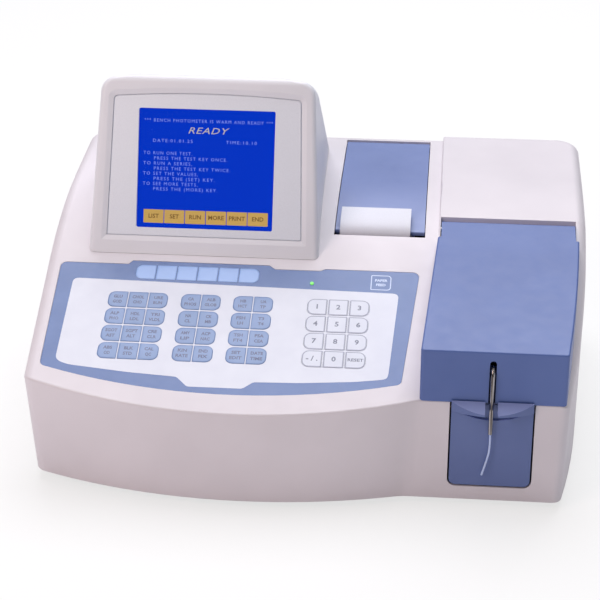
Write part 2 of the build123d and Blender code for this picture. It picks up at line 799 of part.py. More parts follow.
def make_display_bezel():
    """The silver panel that fills the pod's opening, with a flange behind the opening's edge."""
    top = -POD_WALL - STACK_GAP
    bezel = slab(panel_outline(PANEL_LIP), top - PANEL_THICK, top)
    bezel = bezel + slab(panel_outline(-PANEL_GROOVE), top - 0.5, -BEVEL[1] - STACK_GAP)
    with BuildSketch() as window:
        RectangleRounded(SCREEN_WIDTH, SCREEN_HEIGHT, 1.5)
    bezel = bezel - Pos(0, SCREEN_MIDDLE, 0) * slab(window.sketch.faces()[0], -20, 20)
    return in_pod(bezel)


def make_display_window():
    """The clear window behind the bezel."""
    top = -POD_WALL - PANEL_THICK - 2 * STACK_GAP
    size = (SCREEN_WIDTH + 2 * WINDOW_MARGIN, SCREEN_HEIGHT + 2 * WINDOW_MARGIN, WINDOW_THICK)
    return in_pod(Pos(0, SCREEN_MIDDLE, top - WINDOW_THICK / 2) * Box(*size))


def make_lcd_module():
    """The screen module: a framed glass panel with its circuit board."""
    top = -POD_WALL - PANEL_THICK - WINDOW_THICK - 3 * STACK_GAP
    body = Pos(0, SCREEN_MIDDLE, top - LCD_SIZE[2] / 2) * Box(*LCD_SIZE)
    board_size = (LCD_SIZE[0] + 6, LCD_SIZE[1], 1.6)
    board = Pos(0, SCREEN_MIDDLE, top - LCD_SIZE[2] - 0.8) * Box(*board_size)
    return in_pod(body + board)


# ---------------------------------------------------------------- keypad parts
def key_pad(place, grow, low, high):
    """A number key's pad, grown by a margin; the ends of each row of keys are well rounded."""
    pad = Pos(*place, (low + high) / 2) * Box(KEY_SIZE[0] + 2 * grow, KEY_SIZE[1] + 2 * grow, high - low)
    upright = pad.edges().filter_by(Axis.Z)
    columns = (KEY_LEFT, KEY_LEFT + 2 * KEY_PITCH[0])
    left = [edge for edge in upright if edge.center().X < place[0]]
    right = [edge for edge in upright if edge.center().X > place[0]]
    left_round = KEY_END_ROUND if place[0] == columns[0] else KEY_INNER_ROUND
    right_round = KEY_END_ROUND if place[0] == columns[1] else KEY_INNER_ROUND
    for corners, radius in ((left, left_round), (right, right_round)):
        pad = fillet([edge for edge in pad.edges().filter_by(Axis.Z) if is_one_of(edge, corners)], radius + grow)
    return pad


def is_one_of(edge, edges):
    """True if an edge has the same middle as one of some edges."""
    return any((edge.center() - other.center()).length < 0.01 for other in edges)


def make_keypad_overlay():
    """The printed film, with windows for the number keys and a hole for the lamp."""
    film_top, film_low = keypad_levels()[:2]
    film = slab(keypad_outline(0), film_low, film_top)
    for name, place in key_places():
        film = film - key_pad(place, KEY_GAP, -3, 3)
    film = film - Pos(*LED_PLACE, 0) * Cylinder(LED_RADIUS + 0.1, 6)
    return in_keypad(film)


def make_keypad_board():
    """The circuit film under the keys, with one snap dome under each key."""
    film_top, film_low, dome_top, board_top, board_low = keypad_levels()
    board = slab(keypad_outline(-1.5), board_low, board_top)
    middle = (board_top + dome_top) / 2
    domes = [Pos(*place, middle) * Cylinder(DOME_RADIUS, DOME_RISE) for name, place in key_places()]
    domes += [Pos(*place, middle) * Cylinder(DOME_RADIUS, DOME_RISE) for place in film_key_places()]
    for dome in domes:
        board = board + dome
    return in_keypad(board)


def make_key(place):
    """One number key, a thin pad that moves in its window."""
    return in_keypad(key_pad(place, 0, KEY_PROUD - KEY_THICK, KEY_PROUD))


def make_status_led():
    """The small green lamp in the overlay."""
    board_top = keypad_levels()[3]
    lamp = Cylinder(LED_RADIUS, 0.3 - board_top)
    return in_keypad(Pos(*LED_PLACE, (0.3 + board_top) / 2 + 0.02) * lamp)


# ---------------------------------------------------------------- sample lid and press plate
def make_sample_lid():
    """The wedge shaped lid: a thin shell with a tongue and a hinge barrel at the back."""
    skirt_lift = LID_SEAT_GAP
    outer = slab(lid_plan(0), 60, 220) & under_lid_top(0)
    outer = outer - below_deck(skirt_lift, floor=20)
    corners = edges_near(outer, lambda p: p.Y < LID_FRONT_Y + 1 and abs(p.Z - 111) < 12 and abs(p.X - 142) > 30)
    outer = fillet(corners, LID_CORNER)
    top = edges_near(outer, lambda p: abs(p.Z - lid_top_z(p.Y)) < 0.8 and p.Y < LID_STEP_Y - 2)
    outer = fillet(top, 1.5)
    room = slab(lid_plan(LID_WALL), 40, 220) & under_lid_top(LID_WALL)
    shell = outer - room
    tongue = block(TONGUE_X, (LID_STEP_Y - LID_WALL, HINGE_Y), (120, 220))
    tongue = (tongue & under_lid_top(0)) - under_lid_top(TONGUE_THICK)
    barrel = rod_x(TONGUE_X, HINGE_Y, hinge_z(), BARREL_RADIUS)
    lid = shell + tongue + barrel
    lid = lid - rod_x((50, 250), HINGE_Y, hinge_z(), HINGE_PIN_RADIUS + RUN_GAP)
    slot_round = rod_y(TUBE_X, (LID_FRONT_Y - 5, LID_FRONT_Y + 6), SLOT_TOP_Z - SLOT_WIDTH / 2, SLOT_WIDTH / 2)
    slot_x = (TUBE_X - SLOT_WIDTH / 2, TUBE_X + SLOT_WIDTH / 2)
    slot = block(slot_x, (LID_FRONT_Y - 5, LID_FRONT_Y + 6), (60, SLOT_TOP_Z - SLOT_WIDTH / 2))
    return lid - slot - slot_round


def make_press_plate():
    """The plate that starts a sample: a paddle with a curved lip, ears and pin holes."""
    y = (FRONT_Y + 0.4, FRONT_Y + 0.4 + PLATE_THICK)
    plate = block(PLATE_X, y, (PLATE_BOTTOM_Z, PLATE_TOP_Z))
    low = plate.edges().filter_by(Axis.Y).sort_by(Axis.Z)[:2]
    plate = fillet(low, PLATE_CORNER)
    pivot_y, pivot_z = PLATE_PIVOT
    for x in ((PLATE_X[0], PLATE_X[0] + EAR_THICK), (PLATE_X[1] - EAR_THICK, PLATE_X[1])):
        ear = block(x, (y[1] - 0.5, pivot_y + 3), (pivot_z - 4, pivot_z + 4))
        plate = plate + fillet(ear.edges().filter_by(Axis.X).sort_by(Axis.Y)[-2:], 2.5)
    plate = plate + press_lip()
    for x in (PLATE_X[0] - 9, PLATE_X[1] - 9):
        plate = plate - rod_x((x, x + 18), pivot_y, pivot_z, PLATE_PIN_RADIUS + RUN_GAP)
    notch = block((TUBE_X - LIP_NOTCH / 2, TUBE_X + LIP_NOTCH / 2), (-190, FRONT_Y + 0.2), (78, 100))
    return plate - notch - lip_hollow(y[0])


def lip_hollow(face_y):
    """The hollow under the lip, cut into the plate's face with a curved lower edge."""
    low_z, depth = LIP_HOLLOW
    top_z = PLATE_TOP_Z - 5
    middle = (PLATE_X[0] + PLATE_X[1]) / 2
    with BuildSketch(Plane.XZ) as crescent:
        with BuildLine():
            arc = ThreePointArc((PLATE_X[0] + 2, top_z), (middle, low_z), (PLATE_X[1] - 2, top_z))
            Line(arc @ 1, arc @ 0)
        make_face()
    return Pos(0, face_y + depth, 0) * extrude(crescent.sketch, amount=depth + 1, dir=(0, -1, 0))


def press_lip():
    """The lip at the plate's top: a wedge cut to a crescent, seen from above."""
    back_y, back_z = LIP_BACK
    with BuildSketch(Plane.YZ) as side:
        with BuildLine():
            Polyline(
                (back_y, back_z),
                (back_y - LIP_REACH, back_z - LIP_DROP),
                (back_y - LIP_REACH, back_z - LIP_DROP - 1.5),
                (FRONT_Y + 1.5, PLATE_TOP_Z - 5),
                (FRONT_Y + 1.5, PLATE_TOP_Z),
                (back_y, PLATE_TOP_Z),
                close=True,
            )
        make_face()
    wedge = extrude(side.sketch, amount=260, both=True)
    with BuildSketch() as crescent:
        with BuildLine():
            ThreePointArc(
                (PLATE_X[0], back_y - 0.5), ((PLATE_X[0] + PLATE_X[1]) / 2, back_y - LIP_REACH), (PLATE_X[1], back_y - 0.5)
            )
            Polyline(
                (PLATE_X[1], back_y - 0.5), (PLATE_X[1], FRONT_Y + 2), (PLATE_X[0], FRONT_Y + 2), (PLATE_X[0], back_y - 0.5)
            )
        make_face()
    return wedge & slab(crescent.sketch.faces()[0], 60, 110)


def make_press_switch():
    """The microswitch behind the press plate, on its bent bracket."""
    back = FRONT_Y + 0.4 + PLATE_THICK
    button = rod_y(TUBE_X, (back + PRESS_TRAVEL, back + 6), 40, 1.2)
    body = block((TUBE_X - 10, TUBE_X + 10), (back + 6, back + 12.5), (34, 46))
    bracket = block((TUBE_X - 12, TUBE_X + 12), (back + 12.5, back + 14), (CASE_BOTTOM + PLATE_STEEL + 0.1, 48))
    foot = block((TUBE_X - 12, TUBE_X + 12), (back + 12.5, back + 30), (CASE_BOTTOM + PLATE_STEEL + 0.1, CASE_BOTTOM + PLATE_STEEL + 1.6))
    return button + body + bracket + foot


def make_sipper_tube():
    """The steel sample tube, from the flow cell over the front edge and down."""
    back_y = BEAM_Y - CELL_SIZE / 2 - 2
    path_top = TUBE_TOP_Z - TUBE_BEND
    with BuildLine(Plane.YZ) as path:
        inner = Line((back_y, TUBE_TOP_Z), (TUBE_Y + TUBE_BEND, TUBE_TOP_Z))
        bend = TangentArc(inner @ 1, (TUBE_Y, path_top), tangent=inner % 1)
        Line(bend @ 1, (TUBE_Y, TUBE_END_Z))
    start = Plane(origin=(TUBE_X, back_y, TUBE_TOP_Z), x_dir=(1, 0, 0), z_dir=(0, -1, 0))
    route = Pos(TUBE_X, 0, 0) * path.line
    outside = sweep(start * Circle(TUBE_RADIUS), path=route)
    inside = sweep(start * Circle(TUBE_BORE), path=route)
    return outside - inside


def make_sipper_tip():
    """The soft plastic end of the sample tube, bent a little to the left."""
    low = TUBE_END_Z
    places = [(0.0, 0.0), (0.5, 11.0), (-1.6, 23.0), (-5.0, 35.0)]
    points = [Vector(TUBE_X + dx, TUBE_Y, low - drop) for dx, drop in places]
    radii = []
    for before, here, after in zip(points, points[1:], points[2:]):
        half_turn = math.radians((here - before).get_angle(after - here)) / 2
        shorter = min((here - before).length, (after - here).length)
        radii.append(0.45 * shorter / math.tan(half_turn))
    print("sipper tip bend radii", [round(radius, 1) for radius in radii])
    with BuildLine() as path:
        FilletPolyline(*points, radius=radii)
    start = Plane(origin=points[0], z_dir=points[1] - points[0])
    return sweep(start * Circle(TIP_RADIUS), path=path.line)


# ---------------------------------------------------------------- measuring bay
def tray_outline(inset):
    """The measuring bay's tray seen from above."""
    return lid_plan(LEDGE + inset, TRAY_FRONT_Y - LID_FRONT_Y + inset)


def make_bay_tray():
    """The moulded tray under the lid, with holes for shafts and tubes."""
    outer = slab(tray_outline(0.3), TRAY_FLOOR_Z - TRAY_WALL, 200)
    inner = slab(tray_outline(0.3 + TRAY_WALL), TRAY_FLOOR_Z, 220)
    back = block((60, 240), (TRAY_BACK_Y, 60), (40, 240))
    inner_back = block((60, 240), (TRAY_BACK_Y - TRAY_WALL, 60), (40, 240))
    tray = (outer - back) - (inner - inner_back)
    drop = WALL * math.hypot(1, DECK_SLOPE)
    tray = tray & below_deck(-drop - 0.3, floor=40)
    tray = tray - rod_z(*PUMP_CENTRE, (40, 70), PUMP_SHAFT + 1)
    tray = tray - rod_y(WASTE_X, (TRAY_BACK_Y - 6, TRAY_BACK_Y + 6), TUBING_Z, TUBING_RADIUS + 1)
    sides = [(106, -138), (184, -136), (112, -24), (190, -24)]
    for x, y in sides:
        leg = rod_z(x, y, (CASE_BOTTOM + PLATE_STEEL + 0.1, TRAY_FLOOR_Z - TRAY_WALL), 4)
        tray = tray + leg
    return tray


def make_cell_holder():
    """The aluminium block that holds the flow cell in the light beam."""
    width, depth, height = HOLDER_SIZE
    x = (TUBE_X - width / 2, TUBE_X + width / 2)
    holder = block(x, (BEAM_Y - depth / 2, BEAM_Y + depth / 2), (TRAY_FLOOR_Z + 0.1, TRAY_FLOOR_Z + height))
    fit = CELL_SIZE / 2 + CELL_FIT
    well = block((TUBE_X - fit, TUBE_X + fit), (BEAM_Y - fit, BEAM_Y + fit), (BEAM_Z - 15, 130))
    holder = holder - well
    holder = holder - rod_x((x[0] - 5, x[1] + 5), BEAM_Y, BEAM_Z, BEAM_RADIUS)
    port_x = PUMP_CENTRE[0] - TUBING_PATH
    port = rod_y(port_x, (BEAM_Y + depth / 2, BEAM_Y + depth / 2 + 6), TUBING_Z, TUBING_RADIUS + 1.2)
    holder = holder + port
    return holder - rod_y(port_x, (BEAM_Y + 2, BEAM_Y + depth / 2 + 9), TUBING_Z, TUBING_RADIUS + 0.05)


def make_flow_cell():
    """The quartz flow cell with its steel head, where the sample tube ends."""
    half = CELL_SIZE / 2
    low = BEAM_Z - 15 + 0.1
    cell = block((TUBE_X - half, TUBE_X + half), (BEAM_Y - half, BEAM_Y + half), (low, low + CELL_HEIGHT))
    head = block((TUBE_X - half, TUBE_X + half), (BEAM_Y - half - 3, BEAM_Y + half), (low + CELL_HEIGHT, TUBE_TOP_Z + 4))
    cell = cell + head
    hole = rod_y(TUBE_X, (BEAM_Y - half - 9, BEAM_Y - half - 1.9), TUBE_TOP_Z, TUBE_RADIUS + 0.03)
    return cell - hole


def make_lamp_housing():
    """The lamp house: a ribbed block with a snout that points at the cell."""
    depth, height = LAMP_SIZE
    y = (BEAM_Y - depth / 2, BEAM_Y + depth / 2)
    house = block(LAMP_X, y, (TRAY_FLOOR_Z + 0.1, TRAY_FLOOR_Z + height + 8))
    for rib in range(5):
        x = LAMP_X[0] + 8 + 5 * rib
        house = house - block((x, x + 2.5), (y[0] - 1, y[1] + 1), (TRAY_FLOOR_Z + height, TRAY_FLOOR_Z + height + 9))
    snout = rod_x((TUBE_X + HOLDER_SIZE[0] / 2 + 0.2, LAMP_X[0] + 1), BEAM_Y, BEAM_Z, 6)
    bore = rod_x((LAMP_X[0] - 10, LAMP_X[0] + 14), BEAM_Y, BEAM_Z, BEAM_RADIUS)
    return house + snout - bore


def wheel_centre():
    """Y and Z of the filter wheel's shaft."""
    return BEAM_Y + FILTER_CIRCLE, BEAM_Z


def filter_places():
    """Y and Z of each filter on the wheel; the first is in the light beam."""
    y, z = wheel_centre()
    places = []
    for index in range(FILTER_COUNT):
        turn = math.pi + 2 * math.pi * index / FILTER_COUNT
        places.append((y + FILTER_CIRCLE * math.cos(turn), z + FILTER_CIRCLE * math.sin(turn)))
    return places


def make_filter_wheel():
    """The wheel that turns a colour filter into the beam, on its shaft."""
    y, z = wheel_centre()
    x = (WHEEL_X, WHEEL_X + WHEEL_THICK)
    wheel = rod_x(x, y, z, WHEEL_RADIUS)
    for place in filter_places():
        wheel = wheel - rod_x((x[0] - 1, x[1] + 1), *place, FILTER_RADIUS)
    hub = rod_x((x[0] - 2, x[0] + 1), y, z, 4)
    shaft = rod_x((x[0] - 11, x[0] + 1), y, z, SHAFT_RADIUS)
    return wheel + hub + shaft


def make_optical_filters():
    """The round glass filters pressed into the wheel."""
    x = (WHEEL_X + 0.5, WHEEL_X + WHEEL_THICK - 0.5)
    return Compound([rod_x(x, *place, FILTER_RADIUS - 0.02) for place in filter_places()])


def make_filter_motor():
    """The small stepper motor that turns the filter wheel, on its foot."""
    y, z = wheel_centre()
    radius, length = FILTER_MOTOR
    x = (WHEEL_X - 2.5 - length, WHEEL_X - 2.5)
    body = rod_x(x, y, z, radius)
    foot = block((x[0] + 2, x[1] - 4), (y - 7, y + 7), (TRAY_FLOOR_Z + 0.1, z - radius + 2))
    return body + foot - rod_x((x[1] - 11, x[1] + 5), y, z, SHAFT_RADIUS + RUN_GAP)


def make_detector_board():
    """The light sensor on its upright circuit board."""
    y = (BEAM_Y - 18, BEAM_Y + 3.5)
    board = block((WHEEL_X - 9, WHEEL_X - 7.4), y, (TRAY_FLOOR_Z + 0.1, BEAM_Z + 12))
    can = rod_x((WHEEL_X - 7.4, WHEEL_X - 2.4), BEAM_Y, BEAM_Z, 3.4)
    return board + can


# ---------------------------------------------------------------- pump
def pump_track_cut():
    """The pump body's round track and the two tube channels."""
    x, y = PUMP_CENTRE
    cut = rod_z(x, y, (PUMP_FLOOR_Z + 4, PUMP_TOP_Z + 9), PUMP_TRACK)
    for side in (-1, 1):
        middle = x + side * TUBING_PATH
        channel = block((middle - 1.8, middle + 1.8), (PUMP_BODY_Y[0] - 9, y), (TUBING_Z - 1.8, PUMP_TOP_Z + 9))
        cut = cut + channel
    return cut


def make_pump_body():
    """The peristaltic pump's housing with its track."""
    body = block(PUMP_BODY_X, PUMP_BODY_Y, (TRAY_FLOOR_Z + 0.1, PUMP_TOP_Z))
    body = fillet(body.edges().filter_by(Axis.Z), 4)
    body = body - pump_track_cut()
    return body - rod_z(*PUMP_CENTRE, (40, PUMP_FLOOR_Z + 9), PUMP_SHAFT + 1)


def make_pump_motor():
    """The geared motor under the tray that drives the pump."""
    radius, length = PUMP_MOTOR
    top = TRAY_FLOOR_Z - TRAY_WALL - 0.1
    body = rod_z(*PUMP_CENTRE, (top - length, top), radius)
    return body - rod_z(*PUMP_CENTRE, (top - 15, top + 5), PUMP_SHAFT + RUN_GAP)


def roller_places():
    """X and Y of each pump roller."""
    x, y = PUMP_CENTRE
    places = []
    for index in range(ROLLER_COUNT):
        turn = math.pi / 2 + 2 * math.pi * index / ROLLER_COUNT
        places.append((x + ROLLER_CIRCLE * math.cos(turn), y + ROLLER_CIRCLE * math.sin(turn)))
    return places


def make_pump_rotor():
    """The pump's rotor: two plates, the roller pins and the drive shaft."""
    x, y = PUMP_CENTRE
    low = PUMP_FLOOR_Z + 5
    rotor = rod_z(x, y, (low, low + 2), ROLLER_CIRCLE + 2)
    rotor = rotor + rod_z(x, y, (PUMP_TOP_Z - 4, PUMP_TOP_Z - 1.5), ROLLER_CIRCLE + 2)
    rotor = rotor + rod_z(x, y, (low, PUMP_TOP_Z - 1.5), 6)
    for place in roller_places():
        rotor = rotor + rod_z(*place, (low, PUMP_TOP_Z - 1.5), 1.5)
    knob = rod_z(x, y, (PUMP_TOP_Z - 1.5, PUMP_TOP_Z + 1.5), 5)
    shaft = rod_z(x, y, (TRAY_FLOOR_Z - TRAY_WALL - 12, low), PUMP_SHAFT)
    return rotor + knob + shaft


def make_pump_rollers():
    """The rollers that press on the tube."""
    low = PUMP_FLOOR_Z + 7.2
    rollers = []
    for place in roller_places():
        roller = rod_z(*place, (low, PUMP_TOP_Z - 4.2), ROLLER_RADIUS)
        rollers.append(roller - rod_z(*place, (low - 1, PUMP_TOP_Z), 1.5 + RUN_GAP))
    return Compound(rollers)


def make_pump_tube():
    """The silicone tube: from the cell, round the pump track, and back to the waste outlet."""
    x, y = PUMP_CENTRE
    start_y = BEAM_Y + HOLDER_SIZE[1] / 2 - 8
    turn_y = PUMP_BODY_Y[0] - 6
    left = x - TUBING_PATH
    right = x + TUBING_PATH
    out = right + 2 * TUBING_TURN
    end_y = REAR_Y - 16
    with BuildLine(Plane.XY.offset(TUBING_Z)) as path:
        first = Line((left, start_y), (left, y))
        loop = TangentArc(first @ 1, (right, y), tangent=first % 1)
        second = Line(loop @ 1, (right, turn_y))
        turn = TangentArc(second @ 1, (out, turn_y), tangent=second % 1)
        Line(turn @ 1, (out, end_y))
    section = Plane(origin=(left, start_y, TUBING_Z), x_dir=(1, 0, 0), z_dir=(0, 1, 0))
    return sweep(section * Circle(TUBING_RADIUS), path=path.line)


def make_waste_fitting():
    """The barbed outlet in the rear panel."""
    back = REAR_Y - WALL
    body = rod_y(WASTE_X, (back - 14, back + 12), TUBING_Z, 4.0)
    body = body + rod_y(WASTE_X, (back - 4.5, back - 1.9), TUBING_Z, 7)
    body = body + rod_y(WASTE_X, (back + 0.1, back + 2.4), TUBING_Z, 7)
    barb = Pos(WASTE_X, back + 15, TUBING_Z) * Rot(-90, 0, 0) * Cone(4.0, 2.6, 6)
    bore = rod_y(WASTE_X, (back - 20, back + 20), TUBING_Z, TUBING_RADIUS + 0.05)
    return body + barb - bore


# ---------------------------------------------------------------- printer
def make_printer_cover():
    """The blue cover plate over the paper roll, with its hinge barrel and bearing lugs."""
    x = (BAY_X[0] + COVER_GAP, BAY_X[1] - COVER_GAP)
    back_y = BAY_Y[1] - COVER_GAP - COVER_BARREL
    plate = below_deck(-COVER_DROP, floor=60) - below_deck(-COVER_DROP - COVER_THICK, floor=60)
    plate = plate & block(x, (COVER_FRONT_Y, back_y), (60, 240))
    front = plate.edges().filter_by(Axis.X).group_by(Axis.Y)[0].sort_by(Axis.Z)[-1]
    plate = fillet(front, 1.5)
    barrel = rod_x((x[0] + 0.4, x[1] - 0.4), back_y, cover_hinge_z(), COVER_BARREL)
    cover = plate + barrel
    y, z = PLATEN_CENTRE
    top = deck_z(y) - COVER_DROP - 1
    for side in (-1, 1):
        middle = PAPER_X + side * (PLATEN_LENGTH / 2 + 1.8)
        lug = block((middle - 1.2, middle + 1.2), (y - 3.5, y + 5), (z - 3.5, top))
        cover = cover + lug
    cover = cover - rod_x((0, 100), y, z, 2 + RUN_GAP)
    return cover - rod_x((0, 100), back_y, cover_hinge_z(), COVER_PIN + RUN_GAP)


def make_platen_roller():
    """The rubber roller on the cover that feeds the paper."""
    y, z = PLATEN_CENTRE
    half = PLATEN_LENGTH / 2
    roller = rod_x((PAPER_X - half, PAPER_X + half), y, z, PLATEN_RADIUS)
    axle = rod_x((PAPER_X - half - 4, PAPER_X + half + 4), y, z, 2)
    return roller + axle


def make_paper_roll():
    """The roll of recording paper on its core."""
    half = PAPER_WIDTH / 2
    x = (PAPER_X - half, PAPER_X + half)
    roll = rod_x(x, *ROLL_CENTRE, ROLL_RADIUS)
    return roll - rod_x((x[0] - 1, x[1] + 1), *ROLL_CENTRE, SPINDLE_RADIUS + RUN_GAP)


def make_paper_strip():
    """The printed end of the paper: up through the slot, then curling back."""
    half = PAPER_WIDTH / 2
    nip_y = PLATEN_CENTRE[0] - PLATEN_RADIUS - PAPER_THICK - 0.15
    nip_z = PLATEN_CENTRE[1] - 1
    top_z = deck_z(COVER_FRONT_Y) + 3
    slot_y = COVER_FRONT_Y - 1.6
    with BuildLine(Plane.YZ) as path:
        rise = Line((nip_y, nip_z), (nip_y, nip_z + 3))
        bend = Spline(rise @ 1, (slot_y, top_z - 4), tangents=[(0, 1), (-0.08, 1)])
        lift = Line(bend @ 1, (slot_y - 0.4, top_z + 2))
        curl = TangentArc(lift @ 1, (slot_y + 12, top_z + 14), tangent=lift % 1)
    start = Plane(origin=(PAPER_X, nip_y, nip_z), x_dir=(1, 0, 0), z_dir=(0, 0, 1))
    section = start * Rectangle(PAPER_WIDTH, PAPER_THICK)
    return sweep(section, path=Pos(PAPER_X, 0, 0) * path.line)


def make_printer_tub():
    """The tub under the cover with the spindle that the paper roll drops on."""
    x = (BAY_X[0] - 0.4, BAY_X[1] + 0.4)
    y = (BAY_Y[0] - 2.4, TUB_BACK_Y)
    outer = block((x[0] - TUB_WALL, x[1] + TUB_WALL), y, (TUB_BOTTOM_Z - TUB_WALL, 220))
    inner = block(x, (y[0] + TUB_WALL, y[1] - TUB_WALL), (TUB_BOTTOM_Z, 230))
    drop = WALL * math.hypot(1, DECK_SLOPE)
    tub = (outer - inner) & below_deck(-drop - 0.2, floor=60)
    spindle = rod_x((x[0] - 1, x[1] + 1), *ROLL_CENTRE, SPINDLE_RADIUS)
    return tub + spindle


def make_print_head():
    """The thermal print head on its sprung plate, fixed in the tub."""
    half = PAPER_WIDTH / 2
    x = (PAPER_X - half, PAPER_X + half)
    head = block(x, HEAD_Y, HEAD_Z)
    foot = block((x[0] + 8, x[1] - 8), (HEAD_Y[0], HEAD_Y[1] + 12), (TUB_BOTTOM_Z + 0.1, TUB_BOTTOM_Z + 2))
    stem = block((x[0] + 8, x[1] - 8), (HEAD_Y[0] + 1, HEAD_Y[1] - 2), (TUB_BOTTOM_Z + 0.1, HEAD_Z[0]))
    return head + foot + stem


# ---------------------------------------------------------------- rear and inside
def make_fan_frame():
    """The square fan frame with its bearing pin and struts."""
    x, z = FAN_CENTRE
    back = REAR_Y - WALL - 0.1 - PLATE_STEEL - 0.1
    front = back - FAN_DEPTH
    half = FAN_SIZE / 2
    frame = block((x - half, x + half), (front, back), (z - half, z + half))
    frame = frame - rod_y(x, (front - 1, back + 1), z, FAN_BORE + 1)
    hub = rod_y(x, (front, front + 2), z, 11)
    for turn in (0, 120, 240):
        arm = Pos(x, front + 1, z) * Rot(0, turn, 0) * Pos(FAN_BORE / 2, 0, 0) * Box(FAN_BORE + 4, 2, 3)
        hub = hub + arm
    pin = rod_y(x, (front + 1, back - 2), z, 1.5)
    return frame + hub + pin


def make_fan_rotor():
    """The fan's hub and blades."""
    x, z = FAN_CENTRE
    back = REAR_Y - WALL - 0.1 - PLATE_STEEL - 0.1
    front = back - FAN_DEPTH
    middle = (front + 2.4 + back - 1) / 2
    hub = rod_y(x, (front + 2.4, back - 1), z, 11)
    for index in range(FAN_BLADES):
        blade = Rot(32, 0, 0) * Box(FAN_BORE - 10, 11, 1.4)
        blade = Pos((FAN_BORE + 9) / 2, 0, 0) * blade
        hub = hub + Pos(x, middle, z) * Rot(0, 360 * index / FAN_BLADES, 0) * blade
    return hub - rod_y(x, (front - 5, back + 5), z, 1.5 + RUN_GAP)


def make_power_inlet():
    """The mains inlet and the switch frame in one module, with three pins."""
    panel_front = REAR_Y - WALL - 0.1
    inside = panel_front - PLATE_STEEL
    flange = (panel_front + 0.1, panel_front + 2.6)
    module = block((SWITCH_X - 15, INLET_X + 22), flange, (INLET_Z - 18, INLET_Z + 18))
    body = block((INLET_X - 13.5, INLET_X + 13.5), (inside - 20, flange[1]), (INLET_Z - 10.5, INLET_Z + 10.5))
    socket = block((INLET_X - 12, INLET_X + 12), (inside - 12, flange[1] + 1), (INLET_Z - 8.5, INLET_Z + 8.5))
    switch = block((SWITCH_X - 10.5, SWITCH_X + 10.5), (inside - 20, flange[1]), (INLET_Z - 14.5, INLET_Z + 14.5))
    well = block((SWITCH_X - 8.5, SWITCH_X + 8.5), (inside - 12, flange[1] + 1), (INLET_Z - 12.5, INLET_Z + 12.5))
    module = module + body - socket + switch - well
    for x, z in ((-7, 2), (0, -3), (7, 2)):
        pin = block((INLET_X + x - 1, INLET_X + x + 1), (inside - 13, flange[1] - 3), (INLET_Z + z - 2, INLET_Z + z + 2))
        module = module + pin
    axle = rod_x((SWITCH_X - 9, SWITCH_X + 9), panel_front - 3, INLET_Z, 1.5)
    return module + axle


def make_power_rocker():
    """The rocker of the mains switch, on its axle."""
    y = REAR_Y - WALL - 0.1 - 3
    with BuildSketch(Plane.YZ) as side:
        with BuildLine():
            Polyline((y - 3, INLET_Z - 6), (y + 4.4, INLET_Z - 11), (y + 4.4, INLET_Z + 11), (y - 3, INLET_Z + 6), close=True)
        make_face()
    rocker = Pos(SWITCH_X, 0, 0) * extrude(side.sketch, amount=8.0, both=True)
    dish = rod_x((SWITCH_X - 20, SWITCH_X + 20), y + 4.4 + 40, INLET_Z, 41.5)
    bore = rod_x((SWITCH_X - 20, SWITCH_X + 20), y, INLET_Z, 1.5 + RUN_GAP)
    axle = Pos(SWITCH_X, y, INLET_Z)
    return axle * Rot(ROCKER_TILT, 0, 0) * axle.inverse() * (rocker - dish - bore)


def make_serial_port():
    """The nine pin data connector."""
    panel_front = REAR_Y - WALL - 0.1
    plate = block((SERIAL_X - 15.5, SERIAL_X + 15.5), (panel_front + 0.1, panel_front + 1), (SERIAL_Z - 6.2, SERIAL_Z + 6.2))
    shell = block((SERIAL_X - 8.5, SERIAL_X + 8.5), (panel_front - 12, panel_front + 6), (SERIAL_Z - 4.5, SERIAL_Z + 4.5))
    hollow = block((SERIAL_X - 7.8, SERIAL_X + 7.8), (panel_front - 2, panel_front + 7), (SERIAL_Z - 3.8, SERIAL_Z + 3.8))
    port = plate + shell - hollow
    for index in range(9):
        row = index % 2
        pin = rod_y(SERIAL_X - 5.5 + 1.38 * index, (panel_front - 3, panel_front + 4), SERIAL_Z - 1.4 + 2.8 * row, 0.5)
        port = port + pin
    for side in (-1, 1):
        port = port + rod_y(SERIAL_X + side * 12.5, (panel_front + 1, panel_front + 6), SERIAL_Z, 2.4)
    return port


def make_main_board():
    """The main circuit board on its standoffs."""
    floor = CASE_BOTTOM + PLATE_STEEL + 0.1
    x = (-175, -15)
    y = (-120, 60)
    board = block(x, y, (floor + 10, floor + 11.6))
    for px in (x[0] + 8, x[1] - 8):
        for py in (y[0] + 8, y[1] - 8):
            board = board + rod_z(px, py, (floor, floor + 10.5), 3.5)
    chips = [(-120, -60, 36, 36, 4), (-60, -70, 28, 14, 4), (-60, -30, 28, 14, 4), (-140, 20, 40, 12, 12), (-70, 20, 18, 18, 9)]
    for cx, cy, width, depth, height in chips:
        chip = block((cx - width / 2, cx + width / 2), (cy - depth / 2, cy + depth / 2), (floor + 11, floor + 11.6 + height))
        board = board + chip
    return board


def make_power_supply():
    """The boxed power supply on the base plate."""
    floor = CASE_BOTTOM + PLATE_STEEL + 0.1
    box = block((0, 92), (20, 140), (floor, floor + 42))
    for index in range(9):
        y = 34 + 10 * index
        box = box - block((14, 78), (y, y + 4), (floor + 40.5, floor + 43))
    return box


